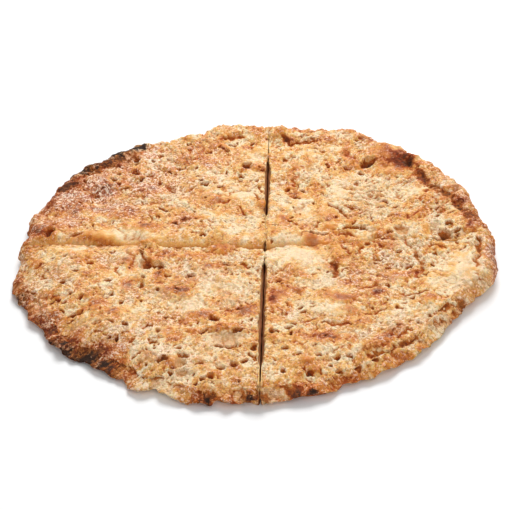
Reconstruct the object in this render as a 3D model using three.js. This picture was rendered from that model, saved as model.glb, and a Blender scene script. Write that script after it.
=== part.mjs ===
// Tahini pide: a round flat bread of layered dough spread with sesame paste, baked dark at its rim
// and cut crosswise with a knife into four quarters, which still lie together as the whole round.
//
// Millimetres, +Z up. The origin is on the surface that the bread lies on, under the middle of its
// outline. +Y runs to the back of the bread, +X to its right.
//
// Each quarter is one closed solid. Its top is a height field over a patch whose four edges are the
// two knife cuts and the two halves of its rim. Below the rim the crust curls under to a flat base.
import * as THREE from "three";

// ---------------------------------------------------------------- driving sizes
const rimRadius = 119; // mean radius of the outline
const crumbHeight = 10.4; // top crust above the base, inside the rim
const rimWaist = 0.42; // height of the widest line of the rim, as a share of the crust's height there
const rimRoll = 9; // width over which the top crust rolls down to the rim
const rimTuck = 3.2; // how far the rim is drawn in where it meets the base
const cross = new THREE.Vector2(5.2, 0.5); // where the two knife cuts meet
const halfGapAtCross = 0.8; // half the width of a cut at the middle of the bread
const halfGapWide = 1.15; // and where the quarters have drawn furthest apart
const halfGapAtRim = 0.35; // and where the crust of two quarters still almost meets

// Directions of the four half cuts, in degrees from +X
const cutAngle = { right: -0.6, back: 87.25, left: 174.8, front: 267.25 };

// Cells along each edge of a quarter's patch, and how much finer they are at the edges
const cells = 26;
const edgeGrading = 0.62;

// ---------------------------------------------------------------- outline
// Bulges (+) and dents (-) of the hand-stretched round: where, in degrees, how wide, how far out
const outlineLobes = [
  { at: 350, wide: 14, out: 4.4 },
  { at: 24, wide: 10, out: 2.4 },
  { at: 60, wide: 3, out: 3.4 },
  { at: 82, wide: 8, out: -4.8 },
  { at: 96, wide: 3, out: 3.0 },
  { at: 109, wide: 6, out: -6.2 },
  { at: 129, wide: 5, out: -2.2 },
  { at: 143, wide: 7, out: 2.8 },
  { at: 168, wide: 10, out: 2.6 },
  { at: 192, wide: 3.5, out: 3.4 },
  { at: 208, wide: 14, out: 2.8 },
  { at: 231, wide: 4, out: -4.0 },
  { at: 249, wide: 9, out: 2.6 },
  { at: 290, wide: 14, out: -2.2 },
  { at: 320, wide: 7, out: -3.4 },
];
const outlineRipple = [
  { waves: 17, high: 0.45, from: 20 },
  { waves: 29, high: 0.35, from: 75 },
];

const radians = THREE.MathUtils.degToRad;
const bell = (x, wide) => Math.exp(-((x / wide) ** 2) / 2);
const turnBetween = (a, b) => ((((a - b) % 360) + 540) % 360) - 180;
const degreesOf = (x, y) => (Math.atan2(y, x) * 180) / Math.PI;

function outlineRadius(degrees) {
  let radius = rimRadius;
  for (const lobe of outlineLobes) radius += lobe.out * bell(turnBetween(degrees, lobe.at), lobe.wide);
  for (const r of outlineRipple) radius += r.high * Math.sin(radians(r.waves * degrees + r.from));
  return radius;
}

// ---------------------------------------------------------------- relief of the top crust
// Long stretches of the rim that stand up, or are rolled down, as seen from the middle of the bread
const rimRises = [
  { at: 50, wide: 26, lift: 2.2 },
  { at: 352, wide: 14, lift: 1.4 },
  { at: 95, wide: 12, lift: 1.2 },
  { at: 150, wide: 26, lift: -1.4 },
  { at: 215, wide: 26, lift: -1.2 },
  { at: 285, wide: 24, lift: -0.4 },
];
const rimCrest = 7; // distance of the rim's crest from the outline
const rimCrestWidth = 6;

// Swells, blisters and hollows: middle, reach along and across, turn, and height (+) or depth (-)
const swells = [
  // the raised back edge of the front right quarter
  { x: 52, y: -1, along: 9, across: 6, turn: 0, lift: 2.2 },
  { x: 68, y: -2, along: 9, across: 7, turn: -10, lift: 3.2 },
  { x: 88, y: -3, along: 9, across: 7, turn: -8, lift: 2.4 },
  { x: 112, y: -5, along: 9, across: 8, turn: 20, lift: 1.6 },
  { x: 42, y: -9, along: 5, across: 9, turn: 10, lift: 1.6 },
  // its smooth flap, the layer that laps over the rim, and the hollow along it
  { x: 103, y: -24, along: 9, across: 15, turn: 8, lift: 0.9 },
  { x: 98, y: -50, along: 15, across: 4, turn: 33, lift: 1.6 },
  { x: 72, y: -88, along: 17, across: 4, turn: 22, lift: 1.2 },
  { x: 84, y: -60, along: 12, across: 6, turn: 25, lift: -0.9 },
  { x: 42, y: -64, along: 14, across: 6, turn: -20, lift: 0.9 },
  // back right quarter: the curled flap at the cut, the torn hollows beside it, the rim's inner groove
  { x: 31, y: 5, along: 7, across: 3.5, turn: -12, lift: 2.4 },
  { x: 46, y: 9, along: 8, across: 4, turn: 0, lift: -2.0 },
  { x: 97, y: 7, along: 7, across: 4, turn: -35, lift: -2.6 },
  { x: 76, y: 12, along: 8, across: 6, turn: 0, lift: 1.6 },
  { x: 81, y: 25, along: 8, across: 4, turn: 15, lift: 1.4 },
  { x: 89, y: 60, along: 17, across: 2.6, turn: -58, lift: -1.7 },
  { x: 108, y: 28, along: 14, across: 2.4, turn: -66, lift: -1.7 },
  { x: 22, y: 96, along: 9, across: 3, turn: -25, lift: -1.5 },
  { x: 73, y: 76, along: 9, across: 7, turn: -20, lift: 1.4 },
  { x: 56, y: 70, along: 10, across: 5, turn: 10, lift: -1.0 },
  { x: 38, y: 28, along: 9, across: 13, turn: 20, lift: 1.1 },
  // back left quarter: the rolled lip at the cut and the wide low waves of the crust
  { x: -80, y: 15, along: 11, across: 4.5, turn: -14, lift: 2.3 },
  { x: -106, y: 18, along: 5, across: 5, turn: 0, lift: 1.6 },
  { x: -95, y: 16, along: 4, across: 4, turn: 0, lift: -2.6 },
  { x: -38, y: 22, along: 5, across: 12, turn: 10, lift: 0.9 },
  { x: -8, y: 108, along: 10, across: 6, turn: 0, lift: 1.6 },
  { x: -45, y: 62, along: 16, across: 12, turn: 20, lift: -0.7 },
  { x: -10, y: 45, along: 12, across: 8, turn: 25, lift: 0.9 },
  // front left quarter: the deep pocket near the cut, the torn slit, the long ridge beside it
  { x: -14, y: -77, along: 6, across: 3.2, turn: 0, lift: -2.8 },
  { x: -16, y: -70, along: 10, across: 3, turn: 4, lift: 1.5 },
  { x: -58, y: -11, along: 6, across: 6, turn: 0, lift: -1.8 },
  { x: -66, y: -6, along: 4, across: 12, turn: 0, lift: 1.3 },
  { x: -42, y: -36, along: 9, across: 6, turn: -20, lift: 0.9 },
  { x: -75, y: -52, along: 14, across: 8, turn: -25, lift: 0.7 },
  { x: -42, y: -91, along: 9, across: 3, turn: 8, lift: -1.5 },
];
const waves = [
  { long: 47, high: 0.35, heading: 25, from: 0 },
  { long: 31, high: 0.28, heading: 110, from: 2 },
  { long: 19, high: 0.18, heading: 70, from: 4 },
];

function swellHeight(x, y) {
  let height = 0;
  for (const s of swells) {
    const c = Math.cos(radians(s.turn));
    const n = Math.sin(radians(s.turn));
    const along = ((x - s.x) * c + (y - s.y) * n) / s.along;
    const across = ((y - s.y) * c - (x - s.x) * n) / s.across;
    height += s.lift * Math.exp(-(along * along + across * across));
  }
  for (const w of waves) {
    const run = x * Math.cos(radians(w.heading)) + y * Math.sin(radians(w.heading));
    height += w.high * Math.sin((2 * Math.PI * run) / w.long + w.from);
  }
  return height;
}

function crustHeight(x, y) {
  const degrees = degreesOf(x, y);
  const fromRim = outlineRadius(degrees) - Math.hypot(x, y);
  let height = crumbHeight + swellHeight(x, y);
  for (const r of rimRises) {
    const share = bell(turnBetween(degrees, r.at), r.wide);
    height += r.lift * share * bell(fromRim - rimCrest, rimCrestWidth);
  }
  return height;
}

// A quarter-round fall from 1 at `wide` inside an edge to 0 at the edge itself
function rolledEdge(inside, wide) {
  const left = 1 - THREE.MathUtils.clamp(inside / wide, 0, 1);
  return Math.sqrt(1 - left * left);
}

// ---------------------------------------------------------------- knife cuts
// How the crust goes over each side of a cut: the knife pressed the back quarters down into a soft
// shoulder, and left every other edge crisp
const softShoulder = { wide: 7, drop: 4.2 };
const crispShoulder = { wide: 1.6, drop: 0.7 };

const headingOf = (degrees) => new THREE.Vector2(Math.cos(radians(degrees)), Math.sin(radians(degrees)));

// Half the gap between two quarters, at a distance from the crossing along a cut
function halfGap(distance) {
  const share = THREE.MathUtils.clamp(distance / rimRadius, 0, 1);
  const middle = Math.sin(Math.PI * share ** 0.9) ** 2;
  const closing = THREE.MathUtils.smoothstep(share, 0.75, 0.97);
  return THREE.MathUtils.lerp(halfGapAtCross + (halfGapWide - halfGapAtCross) * middle, halfGapAtRim, closing);
}

const quarters = [
  { name: "quarter_back_right", from: "right", to: "back", fromEdge: softShoulder, toEdge: crispShoulder },
  { name: "quarter_back_left", from: "back", to: "left", fromEdge: crispShoulder, toEdge: softShoulder },
  { name: "quarter_front_left", from: "left", to: "front", fromEdge: crispShoulder, toEdge: crispShoulder },
  { name: "quarter_front_right", from: "front", to: "right", fromEdge: crispShoulder, toEdge: crispShoulder },
];

// ---------------------------------------------------------------- a quarter's patch
// Point on a side of a quarter, at a distance from the crossing along that side's cut
function sidePoint(heading, otherHeading, distance) {
  return cross.clone().addScaledVector(heading, distance).addScaledVector(otherHeading, halfGap(distance));
}

// Distance along a cut at which the side reaches the outline
function rimDistance(heading, otherHeading) {
  let near = 0;
  let far = 2 * rimRadius;
  for (let step = 0; step < 40; step++) {
    const middle = (near + far) / 2;
    const p = sidePoint(heading, otherHeading, middle);
    if (p.length() < outlineRadius(degreesOf(p.x, p.y))) near = middle;
    else far = middle;
  }
  return near;
}

const graded = (share) => (1 - edgeGrading) * share + edgeGrading * (0.5 - 0.5 * Math.cos(Math.PI * share));

function makePatch(quarter) {
  const from = headingOf(cutAngle[quarter.from]);
  const to = headingOf(cutAngle[quarter.to]);
  const fromLength = rimDistance(from, to);
  const toLength = rimDistance(to, from);
  const fromSide = (u) => sidePoint(from, to, halfGapAtCross + u * (fromLength - halfGapAtCross));
  const toSide = (v) => sidePoint(to, from, halfGapAtCross + v * (toLength - halfGapAtCross));
  const startPoint = fromSide(1);
  const endPoint = toSide(1);
  const start = degreesOf(startPoint.x, startPoint.y);
  const sweep = (degreesOf(endPoint.x, endPoint.y) - start + 360) % 360;
  const rimPoint = (share) => {
    const degrees = start + sweep * share;
    return headingOf(degrees).multiplyScalar(outlineRadius(degrees));
  };
  const corner = fromSide(0);
  const middle = rimPoint(0.5);
  // Coons patch: u runs out along the first cut, v along the second
  return (u, v) => {
    const bottom = fromSide(u);
    const left = toSide(v);
    const right = rimPoint(v / 2);
    const top = rimPoint(1 - u / 2);
    const blend = (axis) =>
      (1 - v) * bottom[axis] + v * top[axis] + (1 - u) * left[axis] + u * right[axis] -
      ((1 - u) * (1 - v) * corner[axis] + u * (1 - v) * startPoint[axis] +
        (1 - u) * v * endPoint[axis] + u * v * middle[axis]);
    return new THREE.Vector2(blend("x"), blend("y"));
  };
}

// Distance of a point from a side of the quarter
function insideCut(point, heading, otherHeading) {
  const away = point.clone().sub(cross);
  const distance = away.dot(heading);
  const square = new THREE.Vector2(-heading.y, heading.x);
  return Math.abs(away.dot(square)) - halfGap(distance) * Math.abs(otherHeading.dot(square));
}

function topHeight(quarter, point) {
  const from = headingOf(cutAngle[quarter.from]);
  const to = headingOf(cutAngle[quarter.to]);
  const crust = crustHeight(point.x, point.y);
  const fromRim = outlineRadius(degreesOf(point.x, point.y)) - point.length();
  let height = THREE.MathUtils.lerp(crust * rimWaist, crust, rolledEdge(fromRim, rimRoll));
  const share = height / crust; // a shoulder flattens out where the rim is already rolled down
  height -= share * quarter.fromEdge.drop * (1 - rolledEdge(insideCut(point, from, to), quarter.fromEdge.wide));
  height -= share * quarter.toEdge.drop * (1 - rolledEdge(insideCut(point, to, from), quarter.toEdge.wide));
  return height;
}

// ---------------------------------------------------------------- closed solid of a quarter
// Rings below the top's edge: share of the edge's height, and share of the rim's tuck
const skirtRings = [
  { height: 0.45, tuck: 0.18 },
  { height: 0.12, tuck: 0.7 },
  { height: 0, tuck: 1 },
];

function makeQuarter(quarter) {
  const patch = makePatch(quarter);
  const positions = [];
  const triangles = [];
  const add = (x, y, z) => positions.push(x, y, z) / 3 - 1;
  const quad = (a, b, c, d) => triangles.push(a, b, c, a, c, d);

  const top = [];
  for (let j = 0; j <= cells; j++) {
    top.push([]);
    for (let i = 0; i <= cells; i++) {
      const p = patch(graded(i / cells), graded(j / cells));
      top[j].push(add(p.x, p.y, topHeight(quarter, p)));
    }
  }
  for (let j = 0; j < cells; j++)
    for (let i = 0; i < cells; i++) quad(top[j][i], top[j][i + 1], top[j + 1][i + 1], top[j + 1][i]);

  // The edge of the top, counter-clockwise from the crossing, with which of its points are on the rim
  const edge = [];
  for (let i = 0; i < cells; i++) edge.push({ index: top[0][i], onRim: false });
  for (let j = 0; j < cells; j++) edge.push({ index: top[j][cells], onRim: true });
  for (let i = cells; i > 0; i--) edge.push({ index: top[cells][i], onRim: true });
  for (let j = cells; j > 0; j--) edge.push({ index: top[j][0], onRim: j === cells });

  let above = edge.map((e) => e.index);
  for (const ring of skirtRings) {
    const below = edge.map(({ index, onRim }) => {
      const [x, y, z] = positions.slice(3 * index, 3 * index + 3);
      const radius = Math.hypot(x, y);
      const pull = onRim ? 1 - (ring.tuck * rimTuck) / radius : 1;
      return add(x * pull, y * pull, z * ring.height);
    });
    for (let k = 0; k < above.length; k++) {
      const next = (k + 1) % above.length;
      quad(above[next], above[k], below[k], below[next]);
    }
    above = below;
  }

  // The flat base fans out from under the middle of the quarter
  const centre = patch(0.45, 0.45);
  const hub = add(centre.x, centre.y, 0);
  for (let k = 0; k < above.length; k++) triangles.push(hub, above[(k + 1) % above.length], above[k]);

  const geometry = new THREE.BufferGeometry();
  geometry.setAttribute("position", new THREE.Float32BufferAttribute(positions, 3));
  geometry.setIndex(triangles);
  geometry.computeVertexNormals();
  const bakedCrust = new THREE.MeshStandardMaterial({ color: 0xd9a566, roughness: 0.62, metalness: 0 });
  const mesh = new THREE.Mesh(geometry, bakedCrust);
  mesh.name = quarter.name;
  return mesh;
}

// ---------------------------------------------------------------- the bread
const bread = new THREE.Group();
bread.name = "tahini_pide";
for (const quarter of quarters) bread.add(makeQuarter(quarter));

// Bring the middle of the outline's box over the origin
const box = new THREE.Box3().setFromObject(bread);
const middle = box.getCenter(new THREE.Vector3());
bread.position.set(-middle.x, -middle.y, -box.min.z);

export default bread;
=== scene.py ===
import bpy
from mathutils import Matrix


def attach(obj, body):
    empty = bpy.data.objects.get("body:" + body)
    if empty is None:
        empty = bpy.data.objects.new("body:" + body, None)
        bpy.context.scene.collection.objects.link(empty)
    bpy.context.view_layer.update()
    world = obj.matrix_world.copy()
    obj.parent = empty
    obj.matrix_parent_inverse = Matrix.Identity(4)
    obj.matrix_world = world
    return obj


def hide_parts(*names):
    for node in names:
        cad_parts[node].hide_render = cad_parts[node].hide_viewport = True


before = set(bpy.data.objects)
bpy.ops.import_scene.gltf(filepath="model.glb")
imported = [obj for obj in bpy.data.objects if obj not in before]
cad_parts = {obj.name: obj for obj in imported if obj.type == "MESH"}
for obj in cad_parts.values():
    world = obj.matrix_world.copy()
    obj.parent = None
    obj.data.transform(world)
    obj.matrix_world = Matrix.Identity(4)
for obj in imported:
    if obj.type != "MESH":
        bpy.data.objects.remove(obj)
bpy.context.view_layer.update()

import math
from types import SimpleNamespace

import bpy
import numpy as np
from mathutils import Matrix, Vector
from mathutils.bvhtree import BVHTree

# A tahini pide: four quarters of a flat sesame paste bread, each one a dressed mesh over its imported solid.
# Lengths in the dictionaries are millimetres on the bread's plan, x to the right and y to the back,
# from the middle of its outline. Angles are degrees, counted from x towards y. The meshes, the finish of the
# materials and the studio are in metres.

mm = 0.001

# The crust's relief and its baked colours are worked out on square sheets that lie over the whole bread.
sheet = {
    "count": 1056,  # points along each side
    "cell": 0.25,   # from one point to the next
    "seed": 52,
}
axis = (np.arange(sheet["count"]) - (sheet["count"] - 1) / 2) * sheet["cell"]
sheetX, sheetY = np.meshgrid(axis, axis)
sheetRadius = np.hypot(sheetX, sheetY)
sheetAngle = np.degrees(np.arctan2(sheetY, sheetX))


def squareWaves(count, step):  # how quickly each wave of a square grid changes, squared
    along = np.fft.rfftfreq(count, step)
    across = np.fft.fftfreq(count, step)
    return along[None, :] ** 2 + across[:, None] ** 2


def soften(field, size, squares):  # evens out all that is finer than the size
    fade = np.exp(-2 * (math.pi * size) ** 2 * squares)
    return np.fft.irfft2(np.fft.rfft2(field) * fade, s=field.shape)


sheetSquares = squareWaves(sheet["count"], sheet["cell"])


def blur(field, size):
    return soften(field, size, sheetSquares)


def grain(size, seed):  # a smooth random field of one grain size, with a spread of 1
    noise = np.random.default_rng(sheet["seed"] + seed).standard_normal(sheetX.shape)
    field = blur(noise, size * 0.36)
    return (field - field.mean()) / field.std()


def ramp(values, low, high):
    share = np.clip((values - low) / (high - low), 0, 1)
    return share * share * (3 - 2 * share)


def bell(values, width):
    return np.exp(-((values / width) ** 2))


def dome(out):  # a patch that is even in the middle and fades at its edge, where out is 1
    return np.exp(-out**3 * 0.8)


def plug(out, width):  # a patch with a flat middle and a short edge
    return np.exp(-(out / width) ** 6)


def cover(field, share):  # lays one more patch over a mask, which never passes 1
    return 1 - (1 - field) * (1 - share)


def turnBetween(a, b):
    return (a - b + 180) % 360 - 180


def heading(degrees):
    angle = np.radians(degrees)
    return np.stack([np.cos(angle), np.sin(angle)], -1)


def turnOf(points):  # the other way round, from places to degrees
    return np.degrees(np.arctan2(points[:, 1], points[:, 0]))


def readGrid(field, x, y, start, step):  # value of a square grid at places between its points
    last = len(field) - 1.001
    column = np.clip((x - start) / step, 0, last)
    row = np.clip((y - start) / step, 0, last)
    i = column.astype(int)
    j = row.astype(int)
    u = column - i
    v = row - j
    near = field[j, i] * (1 - u) + field[j, i + 1] * u
    far = field[j + 1, i] * (1 - u) + field[j + 1, i + 1] * u
    return near * (1 - v) + far * v


def sample(field, x, y):
    return readGrid(field, x, y, axis[0], sheet["cell"])


def sampleAt(field, x, y):
    return sample(field, np.array([x]), np.array([y]))[0]


rimRagged = 0.34 * grain(9.0, 5) + 0.16 * grain(3.5, 6)
rimLift = grain(6.0, 7)
raggedX = 0.55 * grain(3.2, 1) + 0.28 * grain(1.3, 2)
raggedY = 0.55 * grain(3.2, 3) + 0.28 * grain(1.3, 4)


def alongAndAcross(window, x, y, turn, ragged):  # how far each point lies along and across a line
    dx = sheetX[window] + ragged * raggedX[window] - x
    dy = sheetY[window] + ragged * raggedY[window] - y
    c = math.cos(math.radians(turn))
    s = math.sin(math.radians(turn))
    return dx * c + dy * s, dy * c - dx * s


def stamp(x, y, long, wide, turn=0, ragged=1.0):  # a window of the sheet, and how far out each point is
    reach = 2.4 * max(long, wide) + 2
    low = [max(0, int((c - reach - axis[0]) / sheet["cell"])) for c in (x, y)]
    high = [int((c + reach - axis[0]) / sheet["cell"]) + 1 for c in (x, y)]
    window = (slice(low[1], high[1]), slice(low[0], high[0]))
    along, across = alongAndAcross(window, x, y, turn, ragged)
    return window, np.hypot(along / long, across / wide)


def groove(start, end, width):  # a window, and how far each point is in a tapered line and on its lip
    middle = [(a + b) / 2 for a, b in zip(start, end)]
    half = math.dist(start, end) / 2 + width
    turn = math.degrees(math.atan2(end[1] - start[1], end[0] - start[0]))
    window, _ = stamp(*middle, half, width, turn)
    along, across = alongAndAcross(window, *middle, turn, 1.0)
    along = along / half
    across = across / (width * np.sqrt(np.clip(1.05 - along**2, 0.05, 1)))
    taper = ramp(1 - np.abs(along), 0, 0.35)
    back = math.copysign(1, math.cos(math.radians(turn)))
    lip = bell(across * back - 1.9, 1.1)  # the skin behind the line stands up
    return window, bell(across, 1) * taper, lip * taper


def readVectors(items, name):  # one vector for each vertex
    values = np.empty(len(items) * 3, np.float32)
    items.foreach_get(name, values)
    return values.reshape(-1, 3).astype(float)


def solidTree(nodes):
    points = []
    faces = []
    for node in nodes:
        start = len(points)
        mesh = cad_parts[node].data
        points += [v.co / mm for v in mesh.vertices]
        faces += [[start + i for i in face.vertices] for face in mesh.polygons]
    return BVHTree.FromPolygons(points, faces)


edgeReading = {
    "step": 0.5,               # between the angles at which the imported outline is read
    "asides": (-0.7, 0, 0.7),  # the furthest of these counts, so a cut leaves no notch
    "height": 4.6,             # where the rim is widest
    "outside": 200,            # how far out each ray starts
}


def readOutline():
    tree = solidTree(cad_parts)
    radii = []
    for angle in np.arange(0, 360, edgeReading["step"]):
        reached = []
        for aside in edgeReading["asides"]:
            turn = math.radians(angle + aside)
            ray = Vector((math.cos(turn), math.sin(turn), 0))
            start = ray * edgeReading["outside"] + Vector((0, 0, edgeReading["height"]))
            hit = tree.ray_cast(start, -ray)[0]
            reached.append(math.hypot(hit.x, hit.y))
        radii.append(max(reached))
    return np.append(radii, radii[0])


outlineRadii = readOutline()
print(f"outline read: {outlineRadii.min():.1f} to {outlineRadii.max():.1f} mm from the middle")

# What each quarter bears, one entry for each mark. Places, lengths, depths and heights are in mm:
# holes have x, y, long, wide, turn and depth, lumps x, y, long, wide, turn and height, creases start, end,
# width and depth, and the colours and kinds of skin x, y, long, wide, turn and amount.
# Some dark marks are browned spots of the crust; others are painted shade along slits, creases and under
# lips.

backLeft = {
    "holes": [
        (-63, 86, 2.4, 1.6, 90, 1.5), (-63, 73, 2.0, 2.4, 0, 1.6), (-83, 53, 1.6, 2.0, 0, 1.5),
        (-40, 77, 3.0, 0.9, 0, 1.2), (-35, 98, 1.4, 1.0, 0, 1.0), (-3, 75, 2.9, 2.6, 0, 2.2),
        (-7, 66, 1.6, 2.3, 10, 2.2), (-26, 59.5, 2.8, 1.2, 0, 1.6), (-18, 56, 1.7, 1.5, 0, 1.6),
        (0, 98, 1.4, 1.2, 0, 1.3), (-107, 20, 2.5, 3.0, 0, 2.6), (-88, 79.5, 2.0, 1.6, 0, 1.5),
        (-47, 36, 1.4, 1.0, 0, 0.9), (-37, 26, 1.6, 2.2, 0, 0.8), (-96, 66, 2.2, 1.4, 0, 0.9),
        (2, 62, 1.4, 1.0, 60, 1.2), (-14, 91, 1.6, 1.0, 0, 1.0), (-50, 90, 1.4, 1.2, 0, 1.0),
        (-72, 62, 1.3, 1.2, 0, 1.1), (-56, 70, 1.6, 1.2, 20, 1.2), (-30, 68, 1.4, 1.0, 0, 1.0),
        (-92, 47, 1.3, 1.2, 0, 1.0), (-75.2, 67, 2.0, 1.5, 0, 1.5), (-15, 118, 1.5, 1.4, 0, 1.2),
        (-50.2, 62.7, 1.5, 1.2, 0, 1.4), (-49.5, 37.5, 2.2, 1.0, 0, 1.1),
    ],
    "creases": [
        ((-46, 62), (-43, 55), 1.2, 1.1), ((3, 57), (5, 50), 0.9, 1.0), ((0, 48), (3, 41), 0.9, 1.0),
        ((-8, 37), (-5, 30), 0.6, 0.9), ((-15, 102.5), (-5, 104.5), 1.3, 1.4),
        ((-21, 47), (0, 52), 0.9, 0.6), ((-96, 17), (-89, 18), 1.1, 2.2), ((-72, 21), (-65, 11), 0.9, 0.5),
        ((-20, 41), (-14, 41), 0.9, 0.8), ((-34, 84), (-24, 86), 0.8, 0.6),
        ((-60, 40), (-48, 44), 0.9, 0.6),
        *(((-91 + 2.5 * k, 14.6 - 0.6 * k), (-91.4 + 2.5 * k, 11 - 0.6 * k), 0.55, 0.55) for k in range(9)),
    ],
    "lumps": [
        (-12, 110, 9, 5.5, 0, 1.6), (-52, 52, 8, 6, 0, 0.7), (0, 90, 6, 4, 0, 0.9),
        (-5, 84, 5, 3.5, 0, 0.8), (-81, 14, 12, 3.0, -14, 1.3), (-107, 26, 6, 5, 0, 0.8),
        (-10, 45, 9, 5, 15, 0.5), (-72, 47, 7, 5, 0, 0.5), (3, 76, 3, 4, 0, 0.7), (-30, 104, 8, 4, 0, 0.8),
        (-46, 98, 6, 4, 10, 0.7), (-55, 20, 8, 4, 0, 0.7), (-54, 56, 6, 4, 0, 0.7), (-34, 62, 7, 5, 0, 0.8),
        (-66, 44, 8, 4, 10, 0.7), (-90, 38, 7, 5, 0, 0.6), (-28, 30, 9, 5, 0, 0.6), (-78, 58, 6, 5, 0, 0.7),
        (-14, 62, 5, 5, 0, 0.7), (-70, 31, 6, 3, 0, 0.8),
    ],
    "toast": [
        (-3, 75, 4, 3.5, 0, 0.55), (-44, 17, 3.5, 9, -15, 0.45), (-82, 12, 9, 1.8, -14, 0.5),
        (-107, 22, 7, 7, 0, 0.5), (-55.5, 21.7, 5, 3, 0, 0.55), (-70.8, 33.2, 5, 3.5, 0, 0.5),
        (-54, 55, 5, 5, 0, 0.35), (-20, 42.5, 3.5, 4, 0, 0.5), (-38, 30, 5, 5, 0, 0.3),
        (-12, 103, 8, 2.5, 5, 0.4), (-20, 84, 10, 8, 30, 0.3), (-12, 33, 8, 5, 0, 0.3),
        (-62, 73, 6, 5, 0, 0.3), (-28, 46, 7, 5, 20, 0.25), (-58, 55, 8, 6, 20, 0.2),
        (-15, 94, 7, 3, 0, 0.2), (-45, 104, 8, 5, 20, 0.2), (-99, 50, 6, 9, -15, 0.6),
        (-96, 32, 8, 11, 0, 0.65), (-86, 44, 8, 6, 0, 0.4), (-75, 38, 9, 6, 0, 0.5),
        (-48, 66, 7, 5, 20, 0.5), (-62, 21, 7, 4, 0, 0.3), (-58, 92, 6, 5, 0, 0.3),
        (-80, 70, 16, 9, 40, 0.35), (-70, 55, 8, 6, 0, 0.25), (-88, 60, 10, 14, -30, 0.3),
    ],
    "dark": [
        (-96, 66, 4, 3, 0, 0.6), (-37, 26, 3, 2.6, 0, 0.55), (-87, 76, 7, 2.0, 38, 0.5),
        (-76, 83, 5, 2.0, 35, 0.45), (-67, 90, 7, 3.0, 35, 0.6), (-76, 84, 8, 3.6, 40, 0.45),
        (-100, 64, 3, 7, -35, 0.55), (-108, 48, 2, 6, -25, 0.4), (-78, 8, 7, 2, 0, 0.35),
        (-109, 19, 3, 2.6, 0, 0.6), (-15, 118, 1.8, 1.6, 0, 0.8), (-9, 118, 1.8, 1.6, 0, 0.8),
        (-103, 63, 3, 2, 0, 0.5), (-44, 58, 2.5, 3, 0, 0.5), (-93, 17, 4, 1.8, 5, 0.6),
        (-14, 103, 6, 1.2, 6, 0.5), (-70, 84, 4, 3, 0, 0.3),
    ],
    "pale": [
        (-18, 7, 6, 3, 0, 0.25), (-48, 8, 6, 3, 0, 0.3), (-66, 16, 8, 4.5, -8, 0.5), (0, 88, 8, 8, 0, 0.3),
        (3, 70, 4, 16, 0, 0.4), (-8, 47, 10, 5, 15, 0.5), (-72, 47, 6, 4, 0, 0.4), (-85, 45, 5, 4, 0, 0.3),
        (-36, 24, 4, 3, 0, 0.35), (-95, 12, 4, 2, 0, 0.3), (-20, 68, 8, 6, 0, 0.3),
        (-10, 25, 10, 5, 0, 0.35), (-74, 27, 6, 3, 0, 0.3), (-20, 100, 10, 5, -10, 0.35),
        (-38, 102, 8, 4, 0, 0.3), (-25, 50, 9, 5, 15, 0.35), (0, 38, 5, 6, 0, 0.4),
    ],
    "char": [
        (-96, 75, 5, 3.4, 45, 0.55), (-89, 79, 5, 4.4, 40, 0.6), (-81, 82, 5, 3.6, 40, 0.55),
        (-74, 90, 6, 4.4, 40, 0.65), (-67, 98, 6, 4.8, 35, 0.95), (-61, 101.5, 4, 3.4, 25, 0.85),
    ],
    "pink": [
        (-72, 84, 18, 8, 38, 0.6), (-75, 66, 30, 24, 25, 0.42), (-95, 45, 14, 20, 0, 0.4),
        (-45, 62, 18, 14, 10, 0.45), (-50, 88, 18, 10, 0, 0.4), (-20, 85, 12, 8, 0, 0.25),
        (-70, 45, 14, 10, 0, 0.4), (-38, 26, 6, 6, 0, 0.4),
    ],
    "smooth": [
        (-30, 8, 34, 5, 0, 0.3), (-68, 13, 14, 7, -8, 0.6), (-82, 15, 10, 4, -14, 0.7),
        (-10, 46, 10, 5, 15, 0.5), (0, 88, 7, 8, 0, 0.4),
    ],
}

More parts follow.
